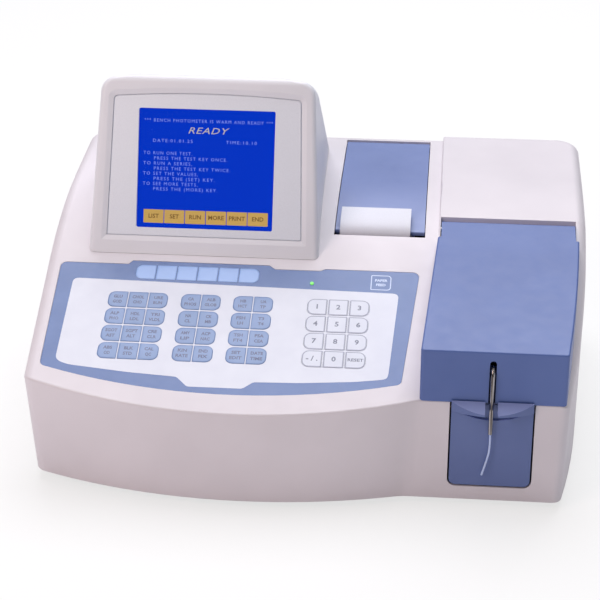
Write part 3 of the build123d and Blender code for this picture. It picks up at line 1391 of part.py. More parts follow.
def all_parts():
    """Every node's name with its shape."""
    parts = {
        "base_plate": make_base_plate(),
        "rubber_feet": make_feet(),
        "upper_case": make_upper_case(),
        "rear_panel": make_rear_panel(),
        "case_screws": make_case_screws(),
        "hinge_pins": make_hinge_pins(),
        "display_housing": make_display_housing(),
        "display_bezel": make_display_bezel(),
        "display_window": make_display_window(),
        "lcd_module": make_lcd_module(),
        "keypad_overlay": make_keypad_overlay(),
        "keypad_board": make_keypad_board(),
        "status_led": make_status_led(),
        "sample_lid": make_sample_lid(),
        "press_plate": make_press_plate(),
        "press_switch": make_press_switch(),
        "sipper_tube": make_sipper_tube(),
        "sipper_tip": make_sipper_tip(),
        "bay_tray": make_bay_tray(),
        "cell_holder": make_cell_holder(),
        "flow_cell": make_flow_cell(),
        "lamp_housing": make_lamp_housing(),
        "filter_wheel": make_filter_wheel(),
        "optical_filters": make_optical_filters(),
        "filter_motor": make_filter_motor(),
        "detector_board": make_detector_board(),
        "pump_body": make_pump_body(),
        "pump_motor": make_pump_motor(),
        "pump_rotor": make_pump_rotor(),
        "pump_rollers": make_pump_rollers(),
        "pump_tube": make_pump_tube(),
        "waste_fitting": make_waste_fitting(),
        "printer_tub": make_printer_tub(),
        "print_head": make_print_head(),
        "printer_cover": make_printer_cover(),
        "platen_roller": make_platen_roller(),
        "paper_roll": make_paper_roll(),
        "paper_strip": make_paper_strip(),
        "fan_frame": make_fan_frame(),
        "fan_rotor": make_fan_rotor(),
        "power_inlet": make_power_inlet(),
        "power_rocker": make_power_rocker(),
        "serial_port": make_serial_port(),
        "main_board": make_main_board(),
        "power_supply": make_power_supply(),
    }
    for name, place in key_places():
        parts[f"key_{name}"] = make_key(place)
    return parts


for node, shape in all_parts().items():
    export_step(Pos(*ORIGIN_SHIFT) * shape, f"parts/{node}.step")
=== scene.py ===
# %% [markdown]
# # A benchtop chemistry analyzer
# The real object is a moulded instrument with a sloping film keypad, a leaning screen pod,
# a strip printer and a blue lid over the measuring bay. The hard parts come ready made as a
# frame of exact solids. This script gives them their finishes and adds what is printed,
# written or bent: the keypad's print, the screen's picture, the paper and the soft tube end.

# %% Load the frame
import math

import bpy
import numpy as np
from mathutils import Matrix, Vector
from mathutils.geometry import tessellate_polygon


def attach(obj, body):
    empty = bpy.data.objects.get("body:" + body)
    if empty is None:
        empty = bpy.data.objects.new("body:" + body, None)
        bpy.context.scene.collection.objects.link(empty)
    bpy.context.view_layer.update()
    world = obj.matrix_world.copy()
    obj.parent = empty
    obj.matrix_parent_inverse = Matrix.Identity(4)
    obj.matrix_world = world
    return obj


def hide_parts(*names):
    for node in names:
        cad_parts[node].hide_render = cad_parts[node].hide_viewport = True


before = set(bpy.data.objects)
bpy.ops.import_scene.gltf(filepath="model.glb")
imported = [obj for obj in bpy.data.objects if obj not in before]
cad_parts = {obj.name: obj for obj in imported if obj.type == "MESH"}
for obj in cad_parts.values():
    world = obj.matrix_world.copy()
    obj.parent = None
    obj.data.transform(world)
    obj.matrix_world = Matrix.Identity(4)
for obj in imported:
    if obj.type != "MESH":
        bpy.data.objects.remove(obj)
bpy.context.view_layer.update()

MM = 0.001

# %% [markdown]
# ## The camera
# The camera stands a metre and a half in front of the instrument, a little to the right, and
# looks down by 24 degrees. A long lens keeps the sides nearly parallel, as in the photograph.
# A camera looks along its own -Z, so its three columns are right, up and backwards.

# %% Camera
CAMERA_PLACE = (0.10427, -1.35831, 0.7008)
CAMERA_YAW = math.radians(5.0)
CAMERA_PITCH = math.radians(24.0)
CAMERA_ROLL = math.radians(0.2)
CAMERA_LENS = 108.0
SENSOR_WIDTH = 36.0
FARTHEST_SEEN = 30.0


def camera_axes(yaw, pitch, roll):
    """Right, up and back: the view direction turned by yaw and tipped by pitch, then rolled."""
    level = math.cos(pitch)
    forward = Vector((-math.sin(yaw) * level, math.cos(yaw) * level, -math.sin(pitch)))
    right = forward.cross(Vector((0, 0, 1))).normalized()
    up = right.cross(forward)
    rolled_right = right * math.cos(roll) + up * math.sin(roll)
    rolled_up = up * math.cos(roll) - right * math.sin(roll)
    return rolled_right, rolled_up, -forward


camera_data = bpy.data.cameras.new("camera")
camera_data.lens = CAMERA_LENS
camera_data.sensor_width = SENSOR_WIDTH
camera_data.clip_end = FARTHEST_SEEN
camera = bpy.data.objects.new("camera", camera_data)
turn = Matrix(camera_axes(CAMERA_YAW, CAMERA_PITCH, CAMERA_ROLL)).transposed().to_4x4()
camera.matrix_world = Matrix.Translation(CAMERA_PLACE) @ turn
bpy.context.collection.objects.link(camera)
bpy.context.scene.camera = camera
print("camera at", CAMERA_PLACE, "lens", CAMERA_LENS)

# %% [markdown]
# ## Finishes
# Each finish starts from the real material. One small function adds a shader node with its
# settings and its links. Colours are written as sRGB hex and turned to linear light, because
# the renderer counts in linear light.

# %% Nodes and colours
def linear(code):
    """Linear RGBA of an sRGB hex: c/12.92 when small, else ((c + 0.055)/1.055) to the 2.4."""
    values = [int(code[i : i + 2], 16) / 255 for i in (1, 3, 5)]
    return [v / 12.92 if v <= 0.04045 else ((v + 0.055) / 1.055) ** 2.4 for v in values] + [1.0]


def add(material, kind, settings=None, links=None):
    """Adds one node: settings go to its sockets or properties, links join sockets by name."""
    node = material.node_tree.nodes.new(kind)
    for name, value in (settings or {}).items():
        if isinstance(name, int) or name in node.inputs:
            node.inputs[name].default_value = value
        else:
            setattr(node, name, value)
    for name, source in (links or {}).items():
        material.node_tree.links.new(source, node.inputs[name])
    return node


def shade(name, settings):
    """A material with one principled shader; patterns are joined to it later."""
    material = bpy.data.materials.new(name)
    material.use_nodes = True
    material.node_tree.nodes.clear()
    shader = add(material, "ShaderNodeBsdfPrincipled", settings)
    add(material, "ShaderNodeOutputMaterial", {}, {"Surface": shader.outputs[0]})
    material["shader"] = shader.name
    return material


def shader_of(material):
    """The principled shader of a material made by shade."""
    return material.node_tree.nodes[material["shader"]]


def link(material, output, socket):
    """Joins a node's output to one of the principled shader's sockets."""
    material.node_tree.links.new(output, shader_of(material).inputs[socket])


print("grey half way in sRGB is", round(linear("#808080")[0], 3), "in linear light")

# %% [markdown]
# No real surface is the same all over: its tone drifts, its gloss is patchy, and it has a
# grain that a finger can feel. Three patterns stand for these, each sized in millimetres of
# the real object, and one function joins them to the shader. Another lays a second colour
# over the first where a share says so.

# %% Patterns on a surface
PATTERN_ENDS = {"From Min": 0.3, "From Max": 0.7}


def place_in_mm(material):
    """Object coordinates in millimetres."""
    coordinates = add(material, "ShaderNodeTexCoord")
    return add(
        material,
        "ShaderNodeVectorMath",
        {"operation": "SCALE", "Scale": 1000.0},
        {0: coordinates.outputs["Object"]},
    ).outputs[0]


def blobs(material, size_mm, detail=3.0, stretch=1.0):
    """Blobs of noise about size_mm across, and stretch times as tall as they are wide."""
    squeezed = add(
        material,
        "ShaderNodeVectorMath",
        {"operation": "MULTIPLY", 1: (1.0, 1.0, 1.0 / stretch)},
        {0: place_in_mm(material)},
    )
    return add(
        material,
        "ShaderNodeTexNoise",
        {"Scale": 1.0 / size_mm, "Detail": detail, "Roughness": 0.5},
        {"Vector": squeezed.outputs[0]},
    ).outputs["Fac"]


def surface(material, colours, gloss, drift, patch, relief=None, depth_mm=0.0, turn=(0.35, 0.65)):
    """Joins three patterns to the shader: drift to colour, patch to roughness, relief to bump.

    The colour goes from the first hex to the second as drift goes through turn. Roughness goes
    through gloss as patch goes from 0.3 to 0.7. Relief moves the surface by up to depth_mm.
    """
    ramp = add(material, "ShaderNodeValToRGB", {}, {"Fac": drift})
    for stop, position, code in zip(ramp.color_ramp.elements, turn, colours):
        stop.position = position
        stop.color = linear(code)
    link(material, ramp.outputs["Color"], "Base Color")
    ends = {**PATTERN_ENDS, "To Min": gloss[0], "To Max": gloss[1]}
    rough = add(material, "ShaderNodeMapRange", ends, {"Value": patch})
    link(material, rough.outputs["Result"], "Roughness")
    if relief is not None:
        depth = {"Strength": 1.0, "Distance": depth_mm * MM}
        bump = add(material, "ShaderNodeBump", depth, {"Height": relief})
        link(material, bump.outputs["Normal"], "Normal")


def overlay(material, share, code):
    """Lays a second colour over the base colour, as much as share says."""
    under = shader_of(material).inputs["Base Color"].links[0].from_socket
    both = {"data_type": "RGBA", 7: linear(code)}
    mix = add(material, "ShaderNodeMix", both, {"Factor": share, 6: under})
    link(material, mix.outputs[2], "Base Color")


print("patterns run over", PATTERN_ENDS)

# %% [markdown]
# The case is injection moulded ABS. The mould is spark eroded, which leaves a fine dull grain
# of about a third of a millimetre, so highlights are broad and soft. Large mouldings also
# vary very slightly in tone, and the blue parts are the same plastic in another colour. The
# printer cover's blue is made lighter than the lid's: painted sheen, for the light its slope
# catches. The rollers of the pump are turned nylon, which is a little glossier.

# %% Moulded ABS
TONE_DRIFT_MM = 60.0
GLOSS_PATCH_MM = 9.0


def moulded_abs(name, colours, gloss, grain_mm=0.45, depth_mm=0.012, shine=0.5):
    """Textured ABS: slow colour drift, patchy roughness and spark eroded grain."""
    material = shade(name, {"IOR": 1.54, "Specular IOR Level": shine})
    drift = blobs(material, TONE_DRIFT_MM, detail=2.0)
    patch = blobs(material, GLOSS_PATCH_MM)
    surface(material, colours, gloss, drift, patch, blobs(material, grain_mm, 2.0), depth_mm)
    return material


SHELL_GLOSS = (0.42, 0.52)
BLUE_GLOSS = (0.38, 0.48)
shell_abs = moulded_abs("grained_abs_pale_grey", ("#D4D0D7", "#D9D5DC"), SHELL_GLOSS)
pod_abs = moulded_abs("grained_abs_pod_grey", ("#E5E7EF", "#E9EBF3"), SHELL_GLOSS)
blue_abs = moulded_abs("grained_abs_slate_blue", ("#4963A3", "#4F69A9"), BLUE_GLOSS, shine=0.6)
# painted sheen: the cover is the lid's blue plastic, made lighter
cover_abs_painted_light = moulded_abs(
    "grained_abs_slate_blue_cover", ("#6679B0", "#6C7FB6"), BLUE_GLOSS, shine=0.65
)
plate_abs = moulded_abs(
    "grained_abs_slate_blue_plate", ("#54689F", "#5A6EA5"), BLUE_GLOSS, shine=0.6
)
black_abs = moulded_abs("grained_abs_black", ("#17171A", "#1D1D21"), (0.45, 0.6))
pump_abs = moulded_abs("grained_abs_warm_grey", ("#B9B6AE", "#C1BEB6"), (0.4, 0.5))
nylon = moulded_abs("turned_nylon_natural", ("#DDDACE", "#E4E1D6"), (0.35, 0.45), 1.2, 0.008)
print("mouldings", len(bpy.data.materials))

# %% [markdown]
# Fingers push the press plate at its lip, the one part of it that faces up. The lip is painted
# paler there: painted light on its upward faces, standing in for light that falls on it. The
# surface's own normal finds the lip: its Z is 1 where a face looks straight up.

# %% Painted light on the lip of the press plate
LIP_STARTS, LIP_FULL = 0.4, 0.8
facing = add(plate_abs, "ShaderNodeNewGeometry").outputs["Normal"]
upward = add(plate_abs, "ShaderNodeSeparateXYZ", {}, {0: facing}).outputs["Z"]
# painted light: how far each face looks up sets how much paler blue it gets
painted_lip_light = add(
    plate_abs,
    "ShaderNodeMapRange",
    {"From Min": LIP_STARTS, "From Max": LIP_FULL, "To Min": 0.0, "To Max": 1.0},
    {"Value": upward},
)
# painted light: the lip's upward faces are mixed towards a paler blue
overlay(plate_abs, painted_lip_light.outputs["Result"], "#8494CC")
print("lip from", LIP_STARTS, "to", LIP_FULL)

# %% [markdown]
# The panel round the screen is painted silver grey: metal flakes in clear lacquer. Flakes are
# far too fine to see one by one, so a slight sparkle in roughness stands for them.

# %% Painted panel
silver_paint = shade("silver_grey_lacquer", {"IOR": 1.5, "Metallic": 0.05})
flake = blobs(silver_paint, 0.6, detail=1.0)
orange_peel = blobs(silver_paint, 1.4)
surface(silver_paint, ("#E6ECF6", "#EBF1FB"), (0.34, 0.46), flake, flake, orange_peel, 0.004)
print("painted", silver_paint.name)

# %% [markdown]
# The keypad is one polyester film, printed on its underside, so it has a satin face with a
# faint orange peel. The pale field, the blue border and the keys are inks on the same film.

# %% Printed film
def printed_film(name, dark, light):
    """Satin polyester over a flat ink, with a slight orange peel."""
    material = shade(name, {"IOR": 1.57})
    mottle = blobs(material, 25.0)
    patch = blobs(material, 4.0)
    peel = blobs(material, 1.1, detail=1.0)
    surface(material, (dark, light), (0.32, 0.4), mottle, patch, peel, 0.003)
    return material


border_film = printed_film("polyester_film_blue_border", "#4766A1", "#4E6DA8")
field_film = printed_film("polyester_film_pale_field", "#CDD2E0", "#D3D8E5")
test_film = printed_film("polyester_film_lilac_keys", "#718DBC", "#7893C3")
strip_film = printed_film("polyester_film_sky_keys", "#93B4EB", "#9ABBF1")
key_film = printed_film("polyester_film_white_keys", "#C8CEDD", "#CED4E2")
key_ink = printed_film("screen_ink_key_outline", "#8A8FA6", "#9297AD")
word_ink = printed_film("screen_ink_slate", "#47517A", "#4F5A83")
digit_ink = printed_film("screen_ink_mid_grey", "#5E647C", "#666C84")
pale_ink = printed_film("screen_ink_pale_line", "#C2D2EE", "#CAD9F2")
print("films and inks", sum("film" in m.name or "ink" in m.name for m in bpy.data.materials))

# %% [markdown]
# Metals: the sample tube is drawn stainless steel. Drawing leaves lines along its length in its
# gloss, given here 1.5 mm wide, wider than real, to show at all. The same lines also run from
# a dark to a bright colour: painted reflection of dark and bright surroundings. The rear panel
# and the base are zinc plated sheet, with the soft cloud that plating leaves. The measuring
# blocks are black anodised aluminium, whose oxide skin is dull and not metallic to the eye.

# %% Metals
LINE_STRETCH = 40.0
steel_tube = shade("drawn_stainless_steel", {"Metallic": 1.0})
drawn_lines_and_painted_reflection = blobs(steel_tube, 1.5, detail=1.0, stretch=LINE_STRETCH)
scratches = blobs(steel_tube, 0.4, stretch=LINE_STRETCH)
# painted reflection: the tube's colour runs from dark to bright along the drawn lines
surface(
    steel_tube, ("#4B4542", "#CFCDCB"), (0.1, 0.22), drawn_lines_and_painted_reflection, drawn_lines_and_painted_reflection, scratches, 0.001, (0.4, 0.6)
)

zinc_sheet = shade("zinc_plated_sheet", {"Metallic": 1.0})
cloud = blobs(zinc_sheet, 12.0)
rolled = blobs(zinc_sheet, 1.5)
surface(zinc_sheet, ("#A9ABAE", "#B6B8BB"), (0.3, 0.42), cloud, cloud, rolled, 0.004)

black_anodised = shade("black_anodised_aluminium", {"IOR": 1.7})
bloom = blobs(black_anodised, 5.0)
blasted = blobs(black_anodised, 0.5)
surface(black_anodised, ("#16171A", "#1F2024"), (0.35, 0.5), bloom, bloom, blasted, 0.004)
print("metals", [metal.name for metal in (steel_tube, zinc_sheet, black_anodised)])

# %% [markdown]
# Rubber and soft tubing are dull and slightly dusty. The tube end is a milky fluoropolymer
# that lets some light through. Silicone is clear and warm. The green lens is a clear plastic
# with a light behind it, so it glows a little by itself.

# %% Rubber, tubing and lens
def soft_polymer(name, colours, rough, through=0.0, ior=1.4):
    """Rubber or soft tube: one dull tone with dust, and light let through where it is clear."""
    material = shade(name, {"IOR": ior, "Transmission Weight": through})
    dust = blobs(material, 3.0)
    surface(material, colours, (rough, rough + 0.12), dust, dust, blobs(material, 0.7), 0.006)
    return material


black_rubber = soft_polymer("moulded_black_rubber", ("#1A1A1B", "#242425"), 0.6, ior=1.52)
milky_tube = soft_polymer("milky_fluoropolymer", ("#C0D4FF", "#CADCFF"), 0.3, 0.1, 1.35)
silicone = soft_polymer("clear_silicone", ("#D8D4C6", "#E2DED2"), 0.3, 0.5, 1.41)
green_lens = shade(
    "clear_green_lens",
    {"IOR": 1.49, "Emission Strength": 0.6, "Emission Color": linear("#4FCB3A")},
)
glow = blobs(green_lens, 0.8)
surface(green_lens, ("#4CC23C", "#7CE060"), (0.2, 0.3), glow, glow)
print("soft finishes", [soft.name for soft in (black_rubber, milky_tube, silicone)])

# %% [markdown]
# Glass: the window over the screen is acrylic with a coating against reflections. The coating
# is given as a low refractive index, 1.1, which reflects a quarter of a percent. The flow cell
# is clear quartz, and each filter in the wheel is glass with a violet cast.

# %% Glass
SMEAR_MM = 14.0
POLISH = {"To Min": 0.01, "To Max": 0.05}


def clear_glass(name, code, ior, through=1.0):
    """Polished glass with faint smears in its roughness."""
    settings = {"IOR": ior, "Transmission Weight": through, "Base Color": linear(code)}
    material = shade(name, settings)
    smear = {"Value": blobs(material, SMEAR_MM)}
    rough = add(material, "ShaderNodeMapRange", {**PATTERN_ENDS, **POLISH}, smear)
    link(material, rough.outputs["Result"], "Roughness")
    return material


window_glass = clear_glass("coated_acrylic_window", "#F4F6FB", 1.1)
cell_glass = clear_glass("fused_quartz", "#EEF4F7", 1.46)
filter_glass = clear_glass("violet_filter_glass", "#8C5AC8", 1.52, 0.8)
print("glass", [glass.name for glass in (window_glass, cell_glass, filter_glass)])

# %% [markdown]
# Thermal paper is smooth and slightly bluish, with fibres too fine to see one by one.

# %% Paper
thermal_paper = shade("thermal_paper", {"IOR": 1.5})
fibres = blobs(thermal_paper, 0.8, detail=4.0)
surface(thermal_paper, ("#D6D9E4", "#DCDFEA"), (0.5, 0.62), fibres, fibres, fibres, 0.004)
print("paper", thermal_paper.name)

# %% [markdown]
# The roll's ends show the edges of the wound sheet, so its rings are drawn as bands about the
# roll's axis: the distance from the axis, folded back and forth. A real sheet is 0.06 mm
# thick, which no picture can show, so the rings are drawn 0.9 mm apart.

# %% Wound paper
ROLL_AXIS = (78.49, 127.0)
RING_MM = 0.9
roll_paper = shade("wound_thermal_paper", {"IOR": 1.5})
centred = add(
    roll_paper,
    "ShaderNodeVectorMath",
    {"operation": "SUBTRACT", 1: (0.0, *ROLL_AXIS)},
    {0: place_in_mm(roll_paper)},
)
across = add(
    roll_paper,
    "ShaderNodeVectorMath",
    {"operation": "MULTIPLY", 1: (0.0, 1.0, 1.0)},
    {0: centred.outputs[0]},
)
distance = add(
    roll_paper, "ShaderNodeVectorMath", {"operation": "LENGTH"}, {0: across.outputs[0]}
)
folded = add(
    roll_paper,
    "ShaderNodeMath",
    {"operation": "PINGPONG", 1: RING_MM / 2},
    {0: distance.outputs["Value"]},
)
rings = add(
    roll_paper, "ShaderNodeMath", {"operation": "DIVIDE", 1: RING_MM / 2}, {0: folded.outputs[0]}
).outputs[0]
patch = blobs(roll_paper, 3.0)
surface(roll_paper, ("#D6D6D8", "#F0F0F2"), (0.52, 0.64), rings, patch, rings, 0.05, (0.0, 0.5))
print("rings every", RING_MM, "mm")

# %% [markdown]
# Circuit boards are green glass epoxy with black parts on top. The boards lie flat, so the
# height above the table tells board from part.

# %% Circuit boards
BOARD_TOP_MM = 21.4


def circuit_board(name):
    """Green solder mask over a fine glass weave."""
    material = shade(name, {"IOR": 1.55})
    weave = blobs(material, 0.6)
    surface(material, ("#0F4A2A", "#165A35"), (0.3, 0.45), weave, weave, weave, 0.01)
    return material


plain_board = circuit_board("glass_epoxy_board")
main_board_finish = circuit_board("glass_epoxy_board_with_parts")
height = add(main_board_finish, "ShaderNodeSeparateXYZ", {}, {0: place_in_mm(main_board_finish)})
above = add(
    main_board_finish,
    "ShaderNodeMath",
    {"operation": "GREATER_THAN", 1: BOARD_TOP_MM},
    {0: height.outputs["Z"]},
)
overlay(main_board_finish, above.outputs[0], "#161719")
print("black parts above", BOARD_TOP_MM, "mm")

# %% [markdown]
# Now every solid gets its finish. The table reads as a list of what each part is made of. The
# twelve number keys are pads of the same film, so they are found by their names.

# %% Give every solid its finish
FINISHES = {
    shell_abs: ["upper_case"],
    pod_abs: ["display_housing"],
    blue_abs: ["sample_lid"],
    cover_abs_painted_light: ["printer_cover"],
    plate_abs: ["press_plate"],
    black_abs: [
        "press_switch", "bay_tray", "printer_tub", "waste_fitting", "fan_frame", "fan_rotor",
        "power_inlet", "power_rocker", "pump_rotor", "lcd_module",
    ],
    pump_abs: ["pump_body"],
    nylon: ["pump_rollers"],
    silver_paint: ["display_bezel"],
    border_film: ["keypad_overlay"],
    steel_tube: ["sipper_tube", "hinge_pins"],
    zinc_sheet: [
        "base_plate", "rear_panel", "case_screws", "filter_motor", "pump_motor", "power_supply",
        "serial_port",
    ],
    black_anodised: ["cell_holder", "lamp_housing", "filter_wheel", "print_head"],
    black_rubber: ["rubber_feet", "platen_roller"],
    silicone: ["pump_tube"],
    green_lens: ["status_led"],
    window_glass: ["display_window"],
    cell_glass: ["flow_cell"],
    filter_glass: ["optical_filters"],
    thermal_paper: ["paper_strip"],
    roll_paper: ["paper_roll"],
    main_board_finish: ["main_board"],
    plain_board: ["keypad_board", "detector_board"],
    key_film: [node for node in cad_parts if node.startswith("key_")],
}
for material, nodes in FINISHES.items():
    for node in nodes:
        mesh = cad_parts[node].data
        mesh.materials.clear()
        mesh.materials.append(material)
print("finishes", len(FINISHES), "solids", sum(len(nodes) for nodes in FINISHES.values()))

# %% [markdown]
# ## The soft tube end
# A thin fluoropolymer tube hangs from the steel sample tube and bends a little to the left.
# It is stiff for its size, so it keeps one slow bend. It is a curve with a round section, and
# its control points are the corners of the route that the solid follows. Places are counted
# in millimetres from the middle of the case's deck, and ORIGIN_SHIFT moves them to the frame.

# %% Tube end
ORIGIN_SHIFT = (0.77, -7.51, 0.0)
TUBE_X = 141.6
TUBE_Y = -161.0
TUBE_END_Z = 66.0
TIP_RADIUS = 0.75
TIP_POINTS = [(0.0, 0.0), (0.5, 11.0), (-1.6, 23.0), (-5.0, 35.0)]


def open_curve(name, points, radius, material):
    """A smooth tube whose centreline is one open spline with these control points."""
    data = bpy.data.curves.new(name, "CURVE")
    data.materials.append(material)
    data.dimensions = "3D"
    data.bevel_depth = radius
    data.bevel_resolution = 6
    data.resolution_u = 16
    data.use_fill_caps = True
    spline = data.splines.new("NURBS")
    spline.points.add(len(points) - 1)
    for point, place in zip(spline.points, points):
        point.co = (*place, 1.0)
    spline.order_u = 3
    spline.use_endpoint_u = True
    piece = bpy.data.objects.new(name, data)
    bpy.context.collection.objects.link(piece)
    return piece


shift_x, shift_y = ORIGIN_SHIFT[:2]
tip_points = [
    ((TUBE_X + dx + shift_x) * MM, (TUBE_Y + shift_y) * MM, (TUBE_END_Z - drop) * MM)
    for dx, drop in TIP_POINTS
]
tip = open_curve("sample_tube_tip", tip_points, TIP_RADIUS * MM, milky_tube)
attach(tip, "case")
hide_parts("sipper_tip")
print("tube end from", tip_points[0], "to", tip_points[-1])

# %% [markdown]
# ## What is printed on the keypad
# The film lies on the sloping deck. A point on it is given by u to the right, v up the slope
# and w above the deck, all in millimetres, and one function turns it into a place. The inks
# are very thin closed plates, a few hundredths of a millimetre apart.

# %% Places on the film
FRONT_Y = -158.0
DECK_FRONT_Z = 90.0
DECK_ANGLE = math.atan(0.425)
FILM_TOP = -0.2
INK_THICK = 0.05


def on_deck(points):
    """(u, v, w) to (x, y, z): v runs up the slope and w stands on it, so both turn by its angle."""
    u, v, w = np.asarray(points, dtype=float).T
    y = FRONT_Y + v * math.cos(DECK_ANGLE) - w * math.sin(DECK_ANGLE)
    z = DECK_FRONT_Z + v * math.sin(DECK_ANGLE) + w * math.cos(DECK_ANGLE)
    return (np.stack([u, y, z], axis=1) + ORIGIN_SHIFT) * MM


print("the deck slopes by", round(math.degrees(DECK_ANGLE), 1), "degrees")

# %% [markdown]
# Every piece below is a list of parts, and each part has points, faces and the number of its
# finish. They are joined into one mesh, which is moved into place and rides on one body.

# %% From parts to a piece
def joined(parts):
    """Several (points, faces, finish number) as one list of points and faces."""
    points, faces, finish, start = [], [], [], 0
    for part_points, part_faces, number in parts:
        points.append(part_points)
        faces += [[index + start for index in face] for face in part_faces]
        finish += [number] * len(part_faces)
        start += len(part_points)
    return np.vstack(points), faces, finish


def make_piece(name, parts, materials, place, body, smooth=False):
    """One mesh object from its parts, moved into place and joined to a body."""
    points, faces, finish = joined(parts)
    mesh = bpy.data.meshes.new(name)
    mesh.from_pydata(place(points).tolist(), [], faces)
    for material in materials:
        mesh.materials.append(material)
    mesh.polygons.foreach_set("material_index", np.array(finish, dtype=np.int32))
    mesh.polygons.foreach_set("use_smooth", np.full(len(faces), smooth))
    mesh.validate()
    mesh.update()
    piece = bpy.data.objects.new(name, mesh)
    bpy.context.collection.objects.link(piece)
    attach(piece, body)
    print(name, "faces", len(faces))
    return piece


# %% [markdown]
# A key is a rectangle whose corners may differ: in a row, the outer side of the first and of
# the last key is nearly a half circle, and all other corners are almost sharp.

# %% Outlines of keys
END_RADIUS = 5.5
INNER_RADIUS = 0.7


def rounded_outline(centre, size, radii, steps=7):
    """A rectangle with a quarter circle of its own radius at each corner, counterclockwise.

    Corner k is centre + (half size - r) + r (cos t, sin t), with t over that quarter turn.
    Radii are given for top right, top left, bottom left and bottom right.
    """
    sides = np.array([(1, 1), (-1, 1), (-1, -1), (1, -1)], dtype=float)
    arcs = []
    for index, (side, radius) in enumerate(zip(sides, radii)):
        middle = np.asarray(centre) + side * (np.asarray(size) / 2 - radius)
        angle = np.linspace(0, math.pi / 2, steps) + index * math.pi / 2
        arcs.append(middle + radius * np.stack([np.cos(angle), np.sin(angle)], axis=1))
    return np.concatenate(arcs)


def end_radii(column, columns, more=0.0):
    """Corner radii of a key in a row: round on the outer side of the first and last key."""
    first = (END_RADIUS if column == 0 else INNER_RADIUS) + more
    last = (END_RADIUS if column == columns - 1 else INNER_RADIUS) + more
    return last, first, first, last


print("key corners", INNER_RADIUS, "and", END_RADIUS, "mm")

# %% [markdown]
# The pale field is a window in the blue border. Its lower edge bows out towards the user and
# dips once more in the middle. Its corners are given as u and y, read off the outline from
# above, and y is turned into a distance up the slope.

# %% Outline of the pale field
FIELD_CORNERS = [
    (-190.9, -55.0), (-190.6, -134.6), (-181.0, -138.6), (-133.5, -143.6), (-95.5, -146.0),
    (-86.5, -154.4), (-44.5, -154.3), (-36.8, -148.0), (-1.6, -147.0), (40.0, -143.8),
    (62.4, -140.5), (64.0, -137.4), (68.2, -59.0),
]
FIELD_RADII = [5, 5, 5, 5, 2, 2, 2, 2, 5, 5, 5, 5, 5]
SIDE_SHARE = 0.48


def v_of(y):
    """Distance up the slope for a given y."""
    return (y - FRONT_Y) / math.cos(DECK_ANGLE)


def corner_rounded(points, radii, steps=6):
    """Each corner as a quadratic curve between a, before it, and b, after it, a radius away.

    The curve is (1-t)^2 a + 2 t (1-t) corner + t^2 b, and takes less than half of each side.
    """
    points = np.asarray(points, dtype=float)
    before = np.roll(points, 1, axis=0)
    after = np.roll(points, -1, axis=0)
    t = np.linspace(0, 1, steps)[:, None]
    curves = []
    for left, here, right, radius in zip(before, points, after, radii):
        a = here + (left - here) * min(radius / np.linalg.norm(left - here), SIDE_SHARE)
        b = here + (right - here) * min(radius / np.linalg.norm(right - here), SIDE_SHARE)
        curves.append((1 - t) ** 2 * a + 2 * t * (1 - t) * here + t**2 * b)
    return np.concatenate(curves)


field = corner_rounded([(u, v_of(y)) for u, y in FIELD_CORNERS], FIELD_RADII)
print("field outline points", len(field))

# %% [markdown]
# The field has the same twelve holes as the film, because the number keys go down in them. A
# face can't have holes, so the area between the loops is cut into triangles.

# %% The pale field
FIELD_TOP = FILM_TOP + INK_THICK
KEY_LEFT = 5.3
KEY_PITCH = 16.55
KEY_SIZE = (15.2, 16.4)
KEY_GAP = 0.2
ROW_FRONT = 36.7
ROW_PITCH = 17.9
HOLE_SIZE = (KEY_SIZE[0] + 2 * KEY_GAP, KEY_SIZE[1] + 2 * KEY_GAP)


def pierced_plate(outline, holes, low, high):
    """A closed plate with holes: both faces are the outline less the holes, cut in triangles.

    The outline runs counterclockwise and the holes clockwise, so each wall faces out of the
    plate when it is joined the same way: from each point down, along, and up to the next.
    """
    loops = [np.asarray(loop, dtype=float) for loop in [outline] + holes]
    flat = np.concatenate(loops)
    count = len(flat)
    triangles = np.array(
        tessellate_polygon([[Vector((*point, 0.0)) for point in loop] for loop in loops])
    )
    a, b, c = (flat[triangles[:, k]] for k in range(3))
    turned = (b - a)[:, 0] * (c - a)[:, 1] < (b - a)[:, 1] * (c - a)[:, 0]
    triangles[turned] = triangles[turned][:, ::-1]
    faces = triangles.tolist() + (triangles[:, ::-1] + count).tolist()
    start = 0
    for loop in loops:
        ring = np.arange(start, start + len(loop))
        following = np.roll(ring, -1)
        faces += np.stack([ring, ring + count, following + count, following], axis=1).tolist()
        start += len(loop)
    levels = [np.column_stack([flat, np.full(count, height)]) for height in (high, low)]
    return np.vstack(levels), faces


def key_centre(left, pitch, column, row):
    """The middle of a key from its column and its row, counted from the front left."""
    return left + column * pitch, ROW_FRONT + row * ROW_PITCH


key_holes = [
    rounded_outline(
        key_centre(KEY_LEFT, KEY_PITCH, column, row), HOLE_SIZE, end_radii(column, 3, KEY_GAP)
    )[::-1]
    for row in range(4)
    for column in range(3)
]
field_plate = pierced_plate(field, key_holes, FILM_TOP, FIELD_TOP)
make_piece("keypad_field", [(*field_plate, 0)], [field_film], on_deck, "case")

# %% [markdown]
# Letters come from Blender's own typeface. A text object is turned into a mesh while it lies
# flat at the origin, and its points then go through the same function as the rest.

# %% Lettering
LETTER_THICK = 0.03
EM_PER_HEIGHT = 1.45


